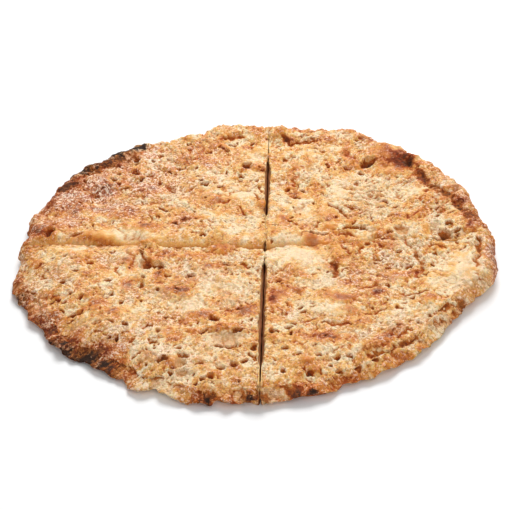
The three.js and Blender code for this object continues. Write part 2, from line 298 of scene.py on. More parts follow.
backRight = {
    "holes": [
        (51, 70.5, 2.2, 2.1, 0, 2.4), (62, 74, 4.4, 2.6, 20, 2.0), (58, 66.5, 1.8, 1.6, 0, 1.8),
        (40, 75, 1.3, 1.1, 0, 1.2), (38, 87, 1.4, 1.1, 0, 1.2), (61.5, 44.5, 1.4, 1.2, 0, 1.3),
        (68.5, 38.5, 2.0, 1.8, 0, 1.8), (48, 23, 1.4, 1.1, 0, 1.2), (95, 21, 1.4, 1.3, 0, 1.4),
        (95, 32, 1.1, 1.0, 0, 1.1), (100, 14, 1.8, 1.4, 0, 1.6), (103, 8, 2.0, 1.5, 0, 1.6),
        (75, 9, 4.6, 3.2, 0, 1.3), (97, 7, 3.2, 3.0, -30, 2.0), (30, 10, 5.4, 1.2, -4, 2.4),
        (84, 70, 1.8, 2.8, 20, 1.6), (70, 22, 1.4, 1.1, 0, 1.0), (22, 82, 1.4, 1.0, 0, 1.0),
        (55, 56, 1.3, 1.1, 0, 1.1), (88, 33, 1.3, 1.1, 0, 1.1), (105, 45, 1.3, 1.0, 50, 1.1),
        (30, 103, 1.6, 1.2, 0, 1.3), (60, 96, 1.5, 1.1, 0, 1.1),
    ],
    "creases": [
        ((16, 102), (22, 95.5), 1.4, 1.7), ((22, 95.5), (36, 98), 1.3, 1.4), ((80, 75), (85, 66), 1.8, 1.3),
        ((87, 64), (93, 53), 1.4, 0.8), ((96, 48), (100, 41), 1.4, 0.8), ((103, 36), (108, 25), 2.0, 1.6),
        ((84, 60), (91, 57), 1.0, 0.7), ((92, 50), (99, 46), 1.0, 0.7), ((100, 31), (106, 33), 1.0, 0.8),
        ((20, 63), (22, 56), 0.9, 0.9), ((19, 49), (22.6, 47), 0.9, 1.2),
        ((22.6, 47), (26, 49.5), 0.8, 0.9), ((21.5, 29), (27, 37), 1.8, 0.7),
        ((38.5, 35), (44, 32), 0.8, 1.6), ((44, 32), (47.5, 24.5), 0.8, 1.5),
        ((45, 15), (58, 10.5), 1.1, 1.3), ((30.5, 13), (34, 20), 0.9, 1.0), ((62, -1), (72, -2), 1.0, 1.4),
        ((55, -3), (50, -13), 0.8, 1.2), ((46, 34), (58, 30), 0.8, 0.8), ((47, 40), (62, 37), 0.8, 0.8),
        ((50, 46), (66, 48), 0.8, 0.8), ((52, 27), (68, 30), 0.8, 0.8), ((45, 52), (57, 50), 0.8, 0.7),
        ((57, 42), (70, 44), 0.8, 0.8), ((78, 17), (87, 29), 1.0, 1.0), ((50, 87), (54, 79), 1.2, 0.8),
        ((107, 6), (116, 14), 1.2, 1.0), ((91, 2), (97, 6), 1.2, 1.5), ((42, 9), (52, 8), 1.4, 1.2),
        ((30, 110), (40, 108), 1.2, 1.0), ((82, 36), (92, 40), 0.8, 0.7), ((36, 58), (44, 62), 0.8, 0.6),
        ((70, 52), (80, 56), 0.8, 0.6),
    ],
    "lumps": [
        (31, 3.6, 7.5, 2.8, -16, 1.9), (63, 78, 3.0, 1.8, 0, 1.0), (91, 38, 3.0, 5.0, 0, 0.9),
        (70, 82, 9, 7, -20, 0.8), (75, 19, 4.5, 3.5, 0, 1.1), (85, 24, 4.5, 3.2, 50, 1.0),
        (93, 17, 2.6, 2.4, 0, 1.1), (98, 64, 5, 12, 32, 0.8), (113, 30, 4, 11, 22, 0.8),
        (60, 96, 12, 4, -22, 0.8), (24, 105, 8, 4, 0, 0.9), (38, 106, 6, 4, 0, 0.7),
        (115, 12, 5, 6, 0, 0.8), (46, 50, 4, 8, 0, 0.5), (84, 46, 7, 5, 0, 0.4), (56, 34, 5, 3, 0, 0.8),
        (64, 27, 4, 3, 0, 0.8), (44, 5, 3.5, 2.6, 0, 0.8), (18, 66, 4, 8, 0, 0.6), (38, 25, 6.5, 7, 0, 1.3),
        (53, 17.5, 6, 3.2, -15, 1.2), (61, 13.5, 4, 3, -15, 1.1), (68, 7, 5.5, 3.6, 0, 1.3),
        (41, -1, 6, 4.4, 0, 1.1), (49.5, 3, 3.4, 3, 0, 0.8), (14, 25, 4, 4, 0, 0.5),
    ],
    "toast": [
        (12, 76, 3, 6, 0, 0.5), (20, 60, 3, 8, -8, 0.5), (33, 50, 3, 9, -8, 0.35), (15, 22, 4, 4, 0, 0.35),
        (91, 38, 3.5, 6, 0, 0.5), (70, 80, 9, 6, -20, 0.4), (73, 66, 8, 5, -30, 0.55),
        (80, 75, 5, 4, 0, 0.5), (51, 82, 3, 8, 20, 0.5), (31, 3.8, 8, 3.4, -16, 0.56),
        (84, 24, 6, 4, 50, 0.5), (75, 19, 5, 4, 0, 0.3), (90, 53, 6, 4, 30, 0.4), (20, 99, 5, 3, -30, 0.45),
        (112, 12, 5, 8, 0, 0.4), (80, 70, 6, 6, 0, 0.6), (13.6, 24.5, 3, 3, 0, 0.5),
        (67, 5, 4.5, 2.4, 0, 0.5), (38, 21, 5, 4, 0, 0.25), (36, 88, 6, 4, 0, 0.35), (47, 65, 4, 6, 0, 0.3),
        (45, 6, 5, 4, 0, 0.4), (26, 79, 6, 5, 0, 0.25), (60, 14, 10, 3, 0, 0.3),
    ],
    "dark": [
        (20, 99, 3, 2.0, -35, 0.7), (31, 97.5, 5, 1.2, 10, 0.55), (30, 111, 4, 1.2, 0, 0.5),
        (83, 70, 3.6, 6, 25, 0.9), (90, 57, 2.6, 6, 30, 0.75), (96, 46, 2.2, 6, 25, 0.7),
        (101, 38, 2.2, 4, 35, 0.6), (107, 29, 2.6, 6, 28, 0.9), (111, 16, 2.6, 5, 15, 0.7),
        (75, 71, 5, 3, -30, 0.5), (77, 79, 5, 2, -35, 0.5), (98, 24, 2, 5, 20, 0.3),
        (28.5, 10.1, 4.6, 0.9, -4, 0.9), (97, 6, 2.6, 3, -30, 0.55), (80, 74, 3, 2.4, 0, 0.5),
        (22, 62, 1.4, 3.6, -10, 0.45), (51, 85, 1.6, 4, 20, 0.4), (112, 20, 1.8, 4, 25, 0.5),
        (66, 75, 3, 1.4, 10, 0.5),
    ],
    "pale": [
        (14, 5, 8, 4, 0, 0.75), (84, 45, 6, 5, 0, 0.6), (46, 50, 4, 11, 0, 0.5),
        (75, 8.4, 5.4, 3.2, 0, 1.0), (63, 77, 3, 1.6, 0, 0.5), (99, 7.6, 2.4, 2.2, 0, 0.8),
        (60, 44, 15, 12, 0, 0.45), (76, 3, 9, 5, 0, 0.4), (28, 66, 8, 8, 0, 0.35), (24, 33, 5, 8, 20, 0.45),
        (60, 62, 14, 5, 10, 0.35), (93, 15, 3, 2.6, 0, 0.4), (30, 88, 8, 6, 0, 0.3),
        (12, 50, 4, 16, 0, 0.35), (72, 56, 6, 4, 0, 0.3), (55, 12, 6, 2.5, 0, 0.2),
        (35, 103, 12, 3, 5, 0.4), (60, 97, 8, 3, -20, 0.35), (76, 86, 7, 3, -40, 0.35),
        (90, 72, 2, 6, 30, 0.4), (107, 45, 3, 9, 22, 0.4), (22, 80, 6, 6, 0, 0.35), (26, 22, 6, 4, 0, 0.5),
        (38, 57, 6, 4, 0, 0.4), (70, 27, 12, 5, 0, 0.45), (56, 50, 6, 8, 0, 0.3), (94, 30, 4, 5, 20, 0.3),
    ],
    "pink": [
        (90, 55, 8, 6, 30, 0.4), (104, 40, 5, 16, 28, 0.4), (60, 96, 14, 5, -25, 0.35),
        (112, 16, 6, 10, 10, 0.4), (25, 99, 10, 4, 0, 0.35), (50, 78, 8, 6, 0, 0.2),
    ],
    "pebbly": [
        (62, 48, 20, 14, -10, 0.7), (84, 26, 16, 12, 20, 0.7), (60, 25, 16, 10, 0, 0.6),
        (82, 6, 16, 8, 0, 0.7),
    ],
    "smooth": [
        (15, 9, 16, 5, 0, 0.3), (84, 45, 7, 5, 0, 0.6), (46, 50, 4, 10, 0, 0.5), (70, 80, 9, 7, -20, 0.5),
        (75, 9, 6, 4, 0, 0.6), (31, 3.8, 8, 3.4, -16, 0.9), (36, 27, 8, 10, 20, 0.4),
        (24, 33, 5, 8, 20, 0.4), (55, 8, 12, 4, 0, 0.5),
    ],
}

frontLeft = {
    "holes": [
        (-98, -23, 1.8, 1.6, 0, 1.6), (-113, -28, 1.3, 1.2, 0, 1.2), (-102, -33.5, 2.2, 1.9, 0, 1.9),
        (-94, -34, 1.5, 1.3, 0, 1.5), (-103, -38.5, 1.4, 1.2, 0, 1.4), (-97, -40, 1.5, 1.2, 0, 1.4),
        (-88, -38, 1.6, 1.4, 0, 1.5), (-91, -51, 4.0, 1.8, 0, 1.5), (-92, -15, 2.4, 0.7, 0, 1.0),
        (-85, -8, 1.4, 1.2, 0, 1.2), (-75, -26, 1.7, 1.4, 0, 1.4), (-73, -37, 0.9, 1.7, 0, 1.4),
        (-58, -30, 1.2, 2.4, 0, 1.6), (-34, -23, 2.0, 1.7, 0, 2.0), (-45, -24, 1.4, 1.1, 0, 1.2),
        (-22, -60, 2.6, 1.8, -20, 1.9), (-50, -68, 1.7, 1.3, 0, 1.3), (-52, -77, 2.4, 2.0, 0, 1.9),
        (-20, -96.8, 1.9, 1.9, 0, 1.9), (-12.9, -95.6, 1.8, 1.9, 0, 1.9), (-27.7, -104.5, 1.7, 1.4, 0, 1.6),
        (-24, -103.6, 2.0, 2.2, 0, 2.2), (-47.3, -89.8, 2.6, 1.0, 0, 1.9), (-38.4, -92, 2.6, 1.9, 0, 1.3),
        (-37.6, -98.4, 2.6, 1.7, 0, 1.2), (-15.4, -77.2, 7.4, 4.8, 0, 1.0), (-27, -70, 3.0, 1.1, 10, 2.2),
        (-10.6, -71.8, 2.8, 1.1, 8, 2.4), (-59, -1.5, 1.3, 2.0, 60, 2.4), (-57, -11, 2.6, 3.6, 20, 1.7),
        (-48, -16, 1.5, 3.6, 8, 2.8), (-58, -24, 1.1, 2.0, 0, 1.6), (-10, -53, 2.0, 1.0, 0, 1.4),
        (-41, -36, 1.6, 0.8, 0, 1.0), (-8, -94, 1.5, 1.3, 0, 1.3), (-3, -84, 1.8, 2.2, 0, 1.5),
        (-66, -62, 1.4, 1.2, 0, 1.2), (-80, -60, 1.6, 1.2, 0, 1.2), (-68, -44, 1.4, 1.1, 0, 1.2),
        (-46, -57, 1.3, 1.0, 0, 1.1), (-107, -12, 1.4, 1.2, 0, 1.1), (-62, -84, 1.5, 1.2, 0, 1.2),
        (-30, -113, 1.6, 1.4, 0, 1.3), (-104, -4, 1.2, 1.1, 0, 1.0), (-39, -82, 1.4, 1.2, 0, 1.2),
        (-70, -70, 1.4, 1.2, 0, 1.1),
    ],
    "creases": [
        ((-40, -89), (-35.4, -87), 0.9, 1.9), ((-17.6, -76.2), (-17.5, -81.4), 0.5, 0.9),
        ((-13.3, -76.2), (-13.2, -81.4), 0.5, 0.9), ((-21.5, -82.0), (-9.5, -82.2), 0.9, 1.9),
        ((-59, -3), (-55.5, -8), 0.9, 1.8), ((-58, -14), (-48.5, -13), 1.0, 2.2),
        ((-20, -16), (-14, -15.4), 1.2, 2.2), ((-9, -14), (-3, -17), 1.0, 1.4),
        ((-53, -13), (-46, -13), 0.9, 1.6), ((-28, -67), (-10, -66), 0.8, 0.5),
        ((-63, -84), (-52, -82), 0.9, 0.8), ((-84, 2), (-78, 1), 0.9, 0.8),
        ((-20, -52), (-12, -53), 0.8, 0.7), ((-72, -12), (-69, -22), 0.9, 0.8),
        ((-66, 2), (-62, -14), 1.0, 1.0), ((-6, -88), (-2, -94), 1.0, 1.2),
        ((-47, -35), (-34, -38), 0.7, 0.5), ((-84, -68), (-74, -66), 0.8, 0.7),
    ],
    "lumps": [
        (-19, -0.5, 4.5, 4.0, 0, 2.6), (-54, -9, 3.4, 2.2, 20, 1.5), (-19, -69, 9, 2.0, 4, 1.1),
        (-31, -8, 7, 4.5, 0, 0.6), (-47, -0.5, 3.0, 2.4, 0, 1.0), (-64, -7, 2.8, 9, 0, 0.8),
        (-80, -45, 6, 5, 0, 0.5), (-74, -55, 6, 5, 0, 0.5), (-41, -37, 7, 4, 0, 0.6),
        (-26, -54, 4, 3, 0, 0.6), (-55.5, 5, 3.6, 2.6, 0, 2.2), (-42, -72, 5, 2.4, 0, 0.6),
        (-58, -108, 5, 3.5, 20, 0.6), (-70, -95, 6, 3, 30, 0.5), (-10, -108, 4, 3, 0, 0.6),
        (-12, -17, 6, 4, 0, 0.4), (-19.8, -78.2, 2.3, 3.0, 0, 1.4), (-15.4, -78.4, 2.1, 3.0, 0, 1.4),
        (-11.2, -78.0, 2.3, 3.0, 0, 1.4), (-41, -86.6, 6, 1.2, 15, 0.8), (-16.4, -95.6, 1.6, 1.6, 0, 0.5),
        (-6, -58, 4, 3, 0, 0.4), (-95, 5, 7, 4, 0, 0.4), (-48, -22, 2.2, 2.6, 0, 0.9),
    ],
    "toast": [
        (-47, -2, 3.4, 3, 0, 0.6), (-34, -7, 9, 3.6, 0, 0.6), (-18, -1, 4.5, 4, 0, 0.55),
        (-41, -37, 8, 4.5, -15, 0.6), (-35, -27, 5, 3.5, 0, 0.45), (-80, -44, 5, 3, 0, 0.45),
        (-73, -52, 5, 2.4, 0, 0.5), (-66, -75, 4, 3, 0, 0.5), (-8, -54, 6, 5, 0, 0.75),
        (-22, -47, 4, 3.4, 0, 0.5), (-28, -56, 6, 4, 0, 0.55), (-64, -8, 3, 10, 0, 0.45),
        (-54, -10, 3.6, 2.2, 20, 0.55), (-19, -69, 10, 2.2, 4, 0.5), (-48, -22, 3, 3, 0, 0.5),
        (-46, -68, 6, 4, 0, 0.4), (-12, -97, 2.4, 2, 0, 0.5), (-21, -101, 2.4, 2, 0, 0.4),
        (-2, -80, 2, 6, 0, 0.35), (-102, -52, 4, 6, 30, 0.3), (-92, -68, 12, 5, 44, 0.6),
        (-76, -84, 12, 5, 36, 0.6), (-104, -48, 5, 9, 30, 0.5), (-65, -55, 5, 5, 0, 0.35),
        (-14, -44, 6, 4, 0, 0.35), (-65, -28, 5, 5, 0, 0.35), (-20, -17, 5, 2.4, 0, 0.5),
        (-5, -17, 4, 2.4, 0, 0.4), (-82, -5, 8, 6, 0, 0.25), (-76, -20, 4, 4, 0, 0.3),
        (-18, -93, 5, 3, 0, 0.3),
    ],
    "dark": [
        # (-15.5, -81.9) is painted shade along the front of the sunken patch
        (-59, -2, 2, 1.6, 60, 0.7), (-48, -16, 1.4, 3, 8, 0.7), (-15.5, -81.9, 5.8, 0.7, 0, 0.8),
        (-10.6, -71.8, 2.8, 1.0, 8, 0.7), (-10, -53, 2, 1, 0, 0.5), (-38, -35, 1.6, 0.8, 0, 0.45),
        (-27, -70.2, 2.6, 1.0, 10, 0.65), (-47.3, -89.6, 2.6, 1.0, 0, 0.6), (-37, -88, 2.2, 0.9, 20, 0.6),
        (-74, -79, 5, 3, 35, 0.45), (-81, -79, 8, 3.4, 38, 0.6), (-72, -88, 6, 3, 35, 0.6),
        (-92, -68, 6, 2.6, 48, 0.45), (-68, -97, 3, 1.6, 30, 0.4), (-28, -117, 4, 1.6, 0, 0.3),
        (-8, -118, 5, 2, 0, 0.65), (1, -118, 3, 2, 0, 0.6), (-103, -57, 4, 2.4, -60, 0.4),
        (-118, -24, 3, 5, 20, 0.4), (-17, -15.8, 3.4, 1.2, 0, 0.7),
    ],
    "pale": [
        # (-14.5, -73.6) is a painted highlight on the lit back lip of the sunken patch
        (-34, -48, 9, 6, 0, 0.7), (-17, -33, 14, 11, 0, 0.5), (-14.5, -73.6, 7.0, 1.5, 0, 1.0),
        (-15.5, -77.8, 7.0, 3.6, 0, 0.75), (-38.4, -92, 3.0, 2.4, 0, 0.95),
        (-37.6, -98.4, 3.0, 2.2, 0, 0.9), (-59.5, -8, 3.0, 4.6, 0, 1.0), (-57, -19, 4, 5, 0, 0.5),
        (-51, -69, 4, 3, 0, 0.5), (-16, -93, 10, 4, 0, 0.45), (-38, -100, 8, 3, 0, 0.45),
        (-40, -110, 7, 3, 0, 0.4), (-45, -12, 5, 4, 0, 0.4), (-24, -10, 4, 3, 0, 0.4),
        (-66, 1, 5, 4, 0, 0.5), (-30, -85, 12, 6, 0, 0.4), (-92, 5, 12, 6, 0, 0.3),
        (-5, -35, 5, 10, 0, 0.3), (-10, -10, 8, 4, 0, 0.4), (-52, -38, 5, 12, 35, 0.45),
        (-95, -8, 8, 8, 0, 0.25), (-67, -5, 3, 6, 0, 0.5), (-27, -21, 5, 6, 0, 0.35),
        (-75, -64, 10, 5, -30, 0.28), (-86, -60, 5, 5, 0, 0.3), (-109, -42, 5, 10, 25, 0.45),
        (-97, -46, 7, 4, 0, 0.35), (-105, -12, 6, 4, 0, 0.35), (-57, -84, 7, 4, 0, 0.4),
        (-8, -75, 4, 7, 0, 0.4), (-55, -106, 12, 4, 18, 0.15), (-25, -114, 12, 3, 3, 0.25),
        (-12, -47, 8, 3, 0, 0.3),
    ],
    "pink": [
        (-75, -5, 10, 7, 0, 0.45), (-108, -18, 9, 12, 0, 0.55), (-60, -37, 10, 8, 0, 0.35),
        (-78, -76, 16, 8, 38, 0.7), (-10, -48, 10, 3, 10, 0.35), (-40, -16, 6, 5, 0, 0.3),
        (-50, -60, 8, 6, 0, 0.25), (-8, -10, 8, 4, 0, 0.3), (-95, -30, 10, 8, 0, 0.3),
        (-45, -87, 12, 5, 0, 0.25),
    ],
    "smooth": [
        (-34, -48, 8, 5, 0, 0.5), (-80, -45, 6, 5, 0, 0.4), (-18, -1, 4.5, 4, 0, 0.7),
        (-15.4, -77.6, 7, 3.8, 0, 0.85), (-64, -7, 3, 9, 0, 0.5), (-54, -10, 4, 3, 20, 0.6),
        (-17, -33, 10, 8, 0, 0.25), (-95, 2, 9, 5, 0, 0.2),
    ],
}

frontRight = {
    "holes": [
        (14, -69.5, 2.2, 1.2, 0, 1.6), (6, -73, 1.7, 1.6, 0, 1.7), (65, -38, 1.4, 1.3, 0, 1.4),
        (76, -49, 1.3, 1.2, 0, 1.3), (84, -30, 1.4, 1.2, 0, 1.3), (17.5, -90, 2.2, 1.0, 0, 1.4),
        (28, -91, 1.5, 1.2, 0, 1.4), (36.5, -92.5, 1.4, 1.6, 0, 1.5), (42, -92, 1.2, 1.4, 0, 1.5),
        (37, -101.5, 2.0, 1.6, 20, 1.6), (23, -102.6, 2.6, 1.6, -20, 1.8), (10, -101, 1.3, 1.9, 0, 1.6),
        (57, -2, 1.5, 1.1, 0, 1.3), (90, -12, 1.4, 1.1, 0, 1.2), (40.5, -111.5, 1.1, 1.0, 0, 1.0),
        (55, -95, 1.5, 1.2, 0, 1.3), (33, -98, 1.3, 1.1, 0, 1.2), (20, -100, 1.3, 1.1, 0, 1.2),
        (64, -84, 1.5, 1.0, 0, 1.2), (47, -100, 1.3, 1.1, 0, 1.2), (72, -12, 1.4, 1.1, 0, 1.1),
        (66, -23, 1.4, 1.1, 0, 1.1), (22, -58, 1.4, 1.0, 0, 1.0), (12, -86, 1.5, 1.2, 0, 1.3),
        (55, -55, 1.2, 1.0, 0, 1.0), (76, -22, 1.5, 1.2, 0, 1.2), (113, -6, 1.6, 1.8, 0, 1.5),
    ],
    "creases": [
        ((37, -17), (41, -22), 1.6, 1.7), ((41, -21), (39, -28), 1.3, 1.4),
        ((80, -11), (84, -24), 1.3, 1.3), ((84, -24), (79, -33), 1.2, 1.1),
        ((70, -45), (86, -45), 0.8, 0.8), ((110, -45.5), (98, -53), 1.4, 2.0),
        ((98, -53), (88, -59), 1.3, 1.5), ((104, -51.5), (94, -59), 0.8, 1.0),
        ((112, -17), (110, -28), 1.0, 1.3), ((50, -92), (62, -88), 1.5, 1.5),
        ((62, -88), (79, -78), 1.6, 1.6), ((30, -66), (46, -70), 1.0, 1.0), ((85, -5), (97, -9), 1.0, 1.2),
        ((113.5, -3), (112, -17), 1.1, 1.8), ((44, -3), (48, -10), 1.0, 0.9), ((60, 0), (64, -8), 1.0, 0.9),
        ((76, 1), (78, -7), 1.0, 0.9), ((55, -27), (66, -30), 0.8, 0.7), ((48, -38), (60, -36), 0.8, 0.6),
        ((20, -66), (28, -63), 0.9, 0.7), ((101, 0), (104, -6), 1.2, 1.3), ((52, -60), (62, -56), 0.8, 0.6),
        ((86, -68), (96, -60), 1.2, 1.1), ((66, -78), (76, -70), 0.9, 0.8),
        ((34, -88), (44, -85), 0.8, 0.7),
    ],
    "lumps": [
        (52, 0, 5, 4, 0, 0.9), (66, 1, 5.5, 4, 0, 1.0), (82, -1, 5, 4, 0, 0.8), (93, -8, 4.2, 3.8, 0, 1.2),
        (42, -10, 3.4, 7, 8, 0.7), (108, -3, 4, 4, 0, 0.7), (117, -6, 3.6, 9, 5, 0.8),
        (13, -79, 6, 1.8, 0, 0.8), (37, -58, 8, 5, -10, 0.6), (106, -42, 6, 2.6, 24, 0.8),
        (58, -83, 9, 2.8, 25, 0.9), (80, -71, 9, 2.8, 38, 0.7), (70, -95, 9, 4, 28, 0.7),
        (47, -67, 6, 4, 0, 0.5), (88, -64, 8, 2.4, 33, 0.6), (60, -12, 5, 4, 0, 0.5),
        (103, -27, 7, 12, 6, 0.5), (20, -8, 9, 6, 0, 0.4), (74, -5, 3, 3, 0, 0.6), (15, -47, 6, 5, 0, 0.4),
        (28, -75, 7, 3, 0, 0.5), (68, -18, 4, 3, 0, 0.5), (100, -56, 9, 2.2, 32, 0.6),
    ],
    "toast": [
        (41, -11, 4.5, 8, 5, 0.55), (18, -23, 6, 5, 0, 0.45), (7, -42, 4, 9, 0, 0.6), (66, 2, 5, 4, 0, 0.4),
        (68, -6, 5, 4, 0, 0.55), (72, -29, 9, 3.6, 0, 0.6), (59, -44, 4, 3.4, 0, 0.6),
        (48, -46, 4, 3, 0, 0.4), (47, -67, 7, 5, 0, 0.45), (30, -77, 8, 4, 0, 0.6),
        (65, -74, 7, 3, 25, 0.5), (12, -38, 6, 8, 0, 0.35), (97, -47, 7, 2.4, 30, 0.15),
        (66, -92, 12, 1.8, 33, 0.4), (58, -82, 10, 3, 25, 0.5), (118, -18, 3.4, 16, 5, 0.6),
        (20, -111, 10, 2.6, 6, 0.45), (34, -112, 7, 2.4, 10, 0.4), (62, -23, 5, 4, 0, 0.5),
        (32, -8, 4, 4, 0, 0.35), (36, -42, 6, 4, 0, 0.35), (50, -33, 10, 8, 0, 0.25),
        (70, -36, 6, 3, 0, 0.35), (104, -54, 5, 2, 35, 0.15), (52, -4, 5, 4, 0, 0.4),
        (93, -8, 4, 3.6, 0, 0.4), (8, -60, 4, 6, 0, 0.35), (40, -80, 8, 4, 0, 0.35),
        (84, -52, 9, 4, 20, 0.3), (62, -60, 8, 5, 0, 0.25), (50, -92, 6, 2, 20, 0.35),
        (46, -102, 6, 2.4, 15, 0.3), (33, -48, 6, 5, 0, 0.25),
    ],
    "dark": [
        (39, -20, 2, 3.4, -30, 0.55), (7, -44, 2, 5, 0, 0.4), (70, -6, 3, 2, 0, 0.35),
        (59, -45, 2.6, 1.8, 0, 0.4), (20, -115, 6, 1.8, 5, 0.55), (25, -118, 4, 2.0, 10, 0.85),
        (35, -114, 5, 1.6, 10, 0.35), (40.5, -111.5, 1.4, 1.2, 0, 0.8), (113, -9, 0.9, 6, 0, 0.5),
        # (103, -50) and (92, -57) are painted shade under the lip of the rim's fold
        (111, -23, 0.8, 5, 6, 0.35), (103, -50, 6, 0.8, 32, 0.4), (92, -57, 5, 0.8, 30, 0.35),
        (66, -73, 5, 1.8, 25, 0.45), (55, -86, 7, 1.6, 22, 0.5), (70, -82, 6, 1.6, 35, 0.4),
        (30, -76, 5, 2, 0, 0.35), (76, -48, 6, 2, 0, 0.25), (96, -72, 8, 1.6, 42, 0.35),
        (14, -112, 6, 2, 0, 0.4),
    ],
    "pale": [
        (21, -9, 13, 8, 0, 0.68), (104, -28, 7, 14, 6, 0.55), (35, -33, 6, 5, 0, 0.6),
        (37, -56, 9, 6, -10, 0.45), (93, -38, 10, 5, 20, 0.45), (90, -22, 6, 6, 0, 0.4),
        (28, -86, 16, 5, 0, 0.4), (60, -68, 12, 5, 20, 0.3), (15, -70, 6, 3, 0, 0.35),
        (30, -20, 8, 6, 0, 0.35), (83, -57, 9, 3, 30, 0.3), (75, -62, 10, 4, 20, 0.3),
        (75, 2, 4, 3, 0, 0.3), (24, -52, 8, 6, 0, 0.3), (77, -4, 9, 7, 0, 0.5), (80, -20, 6, 5, 0, 0.4),
        (116, -8, 3, 8, 0, 0.4), (114, -32, 4, 12, 14, 0.5), (88, -66, 12, 3, 38, 0.5),
        (64, -73, 8, 3, 20, 0.4), (48, -111, 14, 3, 15, 0.5), (22, -92, 6, 4, 0, 0.4),
        (74, -98, 12, 3, 32, 0.4), (96, -76, 10, 3, 45, 0.4),
    ],
    "pink": [
        (55, -32, 14, 10, 0, 0.45), (69, -18, 10, 8, 0, 0.5), (66, 2, 5, 4, 0, 0.3),
        (60, -75, 14, 6, 22, 0.4), (118, -10, 4, 12, 0, 0.4), (104, -28, 7, 12, 6, 0.22),
        (20, -60, 10, 8, 0, 0.25), (80, -70, 10, 5, 35, 0.35), (38, -32, 6, 5, 0, 0.3),
        (30, -76, 8, 3, 0, 0.3), (14, -25, 8, 6, 0, 0.3),
    ],
    "pebbly": [(74, -8, 26, 10, 0, 0.9), (60, -25, 20, 12, 0, 0.5), (92, -22, 8, 10, 0, 0.5)],
    "smooth": [
        (21, -9, 13, 8, 0, 0.7), (104, -28, 8, 15, 6, 0.75), (98, -46, 12, 4, 30, 0.35),
        (37, -57, 8, 5, -10, 0.4), (42, -8, 3, 7, 5, 0.4), (93, -8, 4, 4, 0, 0.5), (92, -38, 9, 5, 20, 0.3),
    ],
}

# What goes on along the rim: place and width in degrees and an amount, and before the amount of the colours
# how deep in mm they reach in from the edge
rim = {
    "toast": [
        (0, 10, 5, 0.4), (20, 9, 6, 0.35), (42, 16, 6, 0.35), (62, 8, 5, 0.35), (78, 12, 5, 0.35),
        (100, 14, 5, 0.15), (150, 12, 10, 0.45), (170, 10, 9, 0.45), (192, 8, 6, 0.35), (210, 9, 9, 0.5),
        (228, 9, 8, 0.45), (246, 9, 5, 0.1), (257, 5, 6, 0.4), (266, 5, 6, 0.35), (281, 8, 6, 0.4),
        (300, 9, 3, 0.15), (322, 12, 3, 0.15), (348, 8, 3, 0.25),
    ],
    "pink": [
        (214, 20, 10, 0.8), (148, 18, 11, 0.6), (182, 12, 8, 0.4), (350, 12, 6, 0.4), (28, 16, 6, 0.3),
        (262, 12, 5, 0.2),
    ],
    "dark": [
        (190, 7, 4, 0.4), (204, 7, 4, 0.4), (212, 5, 6, 0.4), (222, 6, 9, 0.5), (232, 5, 5, 0.4),
        (168, 6, 4, 0.5), (148, 8, 5, 0.5), (139, 5, 5, 0.4), (128, 7, 5, 0.35), (257, 3, 4, 0.5),
        (267, 3, 4, 0.5), (279, 5, 4, 0.4), (291, 4, 3, 0.4), (12, 5, 3, 0.3), (357, 4, 2, 0.3),
    ],
    # mm: how far the edge goes out, how far the rim stands up, and how far it slopes down
    "reach": [
        (184, 6, 3.4), (222, 5, -4.2), (327, 9, -4.2), (171.5, 3.5, -4.0), (345, 4, -2.2), (197, 4, -1.8),
        (285, 5, 0.6), (38, 9, 1.2), (120, 14, 2.6), (141, 5, 3.0), (248, 5, -3.8), (258, 4, -1.2),
        (353, 4, 2.0), (15, 9, -1.8), (162, 5, 3.0), (303, 8, -3.0), (45, 3, -3.0), (76, 3, 4.4),
        (85, 3, -3.0), (131, 3, 2.0), (202, 3, 1.4), (115, 2, 2.0), (275, 3, -0.8), (260, 1.8, -2.4),
        (236, 3.5, -1.8), (290, 2, -2.0), (302, 4, -1.6), (334, 3.0, -4.0), (339, 2.6, -4.2),
        (329, 3, -1.2), (172, 3, -1.6), (208, 3, -1.2), (125, 2.2, -2.4), (140, 2, 1.2), (165, 2, 1.4),
        (355, 2, -1.3), (320, 3, -0.8), (47, 1.9, 3.8), (52, 2.6, -2.2), (28.5, 2.2, -1.5), (65, 3.6, 2.8),
        (74, 3.4, 2.6), (87.5, 2, -2.8), (95, 3.4, 1.7), (104, 1.7, -3.0), (114, 1.4, -3.8),
        (121, 2.8, 3.5), (133, 1.9, -2.8), (148, 1.8, 2.2), (164.5, 2, -2.2), (172, 2.2, 1.5),
        (178.5, 2.4, -2.5), (190, 3, 1.2), (214, 1.4, -2.0), (220, 1.8, 1.6), (235.5, 2.2, -1.7),
        (244, 1.3, -3.2), (264, 1.6, -1.9), (278, 2, -1.1), (295, 1.8, -1.9), (303, 2.6, 1.5),
        (345.5, 2.6, 2.0), (353, 2.4, -1.5), (41, 2, -1.3),
    ],
    "raise": [(128, 16, 3.4), (80, 13, 1.4), (103, 9, 1.2), (45, 12, 1.0), (156, 10, 0.8), (20, 10, 0.5)],
    "slope": [(220, 24, 5.6), (255, 18, 3.4), (285, 20, 3.0), (192, 10, 1.2), (318, 20, 3.0)],
    # where the outside of the rim stays light
    "light": [(315, 26, 0.9), (352, 10, 0.5), (245, 7, 0.7), (178, 6, 0.4)],
    # how round the edge is: 1 a rolled lip, 0 a thin one
    "full": [(75, 50, 1.0), (125, 35, 1.0), (30, 30, 0.9), (352, 12, 0.5), (160, 20, 0.7)],
    "char": [
        (122, 3.5, 4, 0.8), (130, 5.0, 3, 0.55), (139, 4.0, 3.6, 0.5), (193, 1.8, 3.0, 0.7),
        (206, 1.2, 1.6, 0.7), (213.8, 2.8, 4.5, 0.95), (218.5, 2.2, 3.0, 0.75), (223, 2.0, 3.6, 1.0),
        (228.5, 3.4, 5.0, 0.7), (257.5, 1.8, 3.2, 1.0), (267, 2.2, 3.4, 1.0), (282, 1.4, 2.6, 0.9),
    ],
}


def alongRim(degrees, key):
    return sum(entry[2] * bell(turnBetween(degrees, entry[0]), entry[1]) for entry in rim[key])


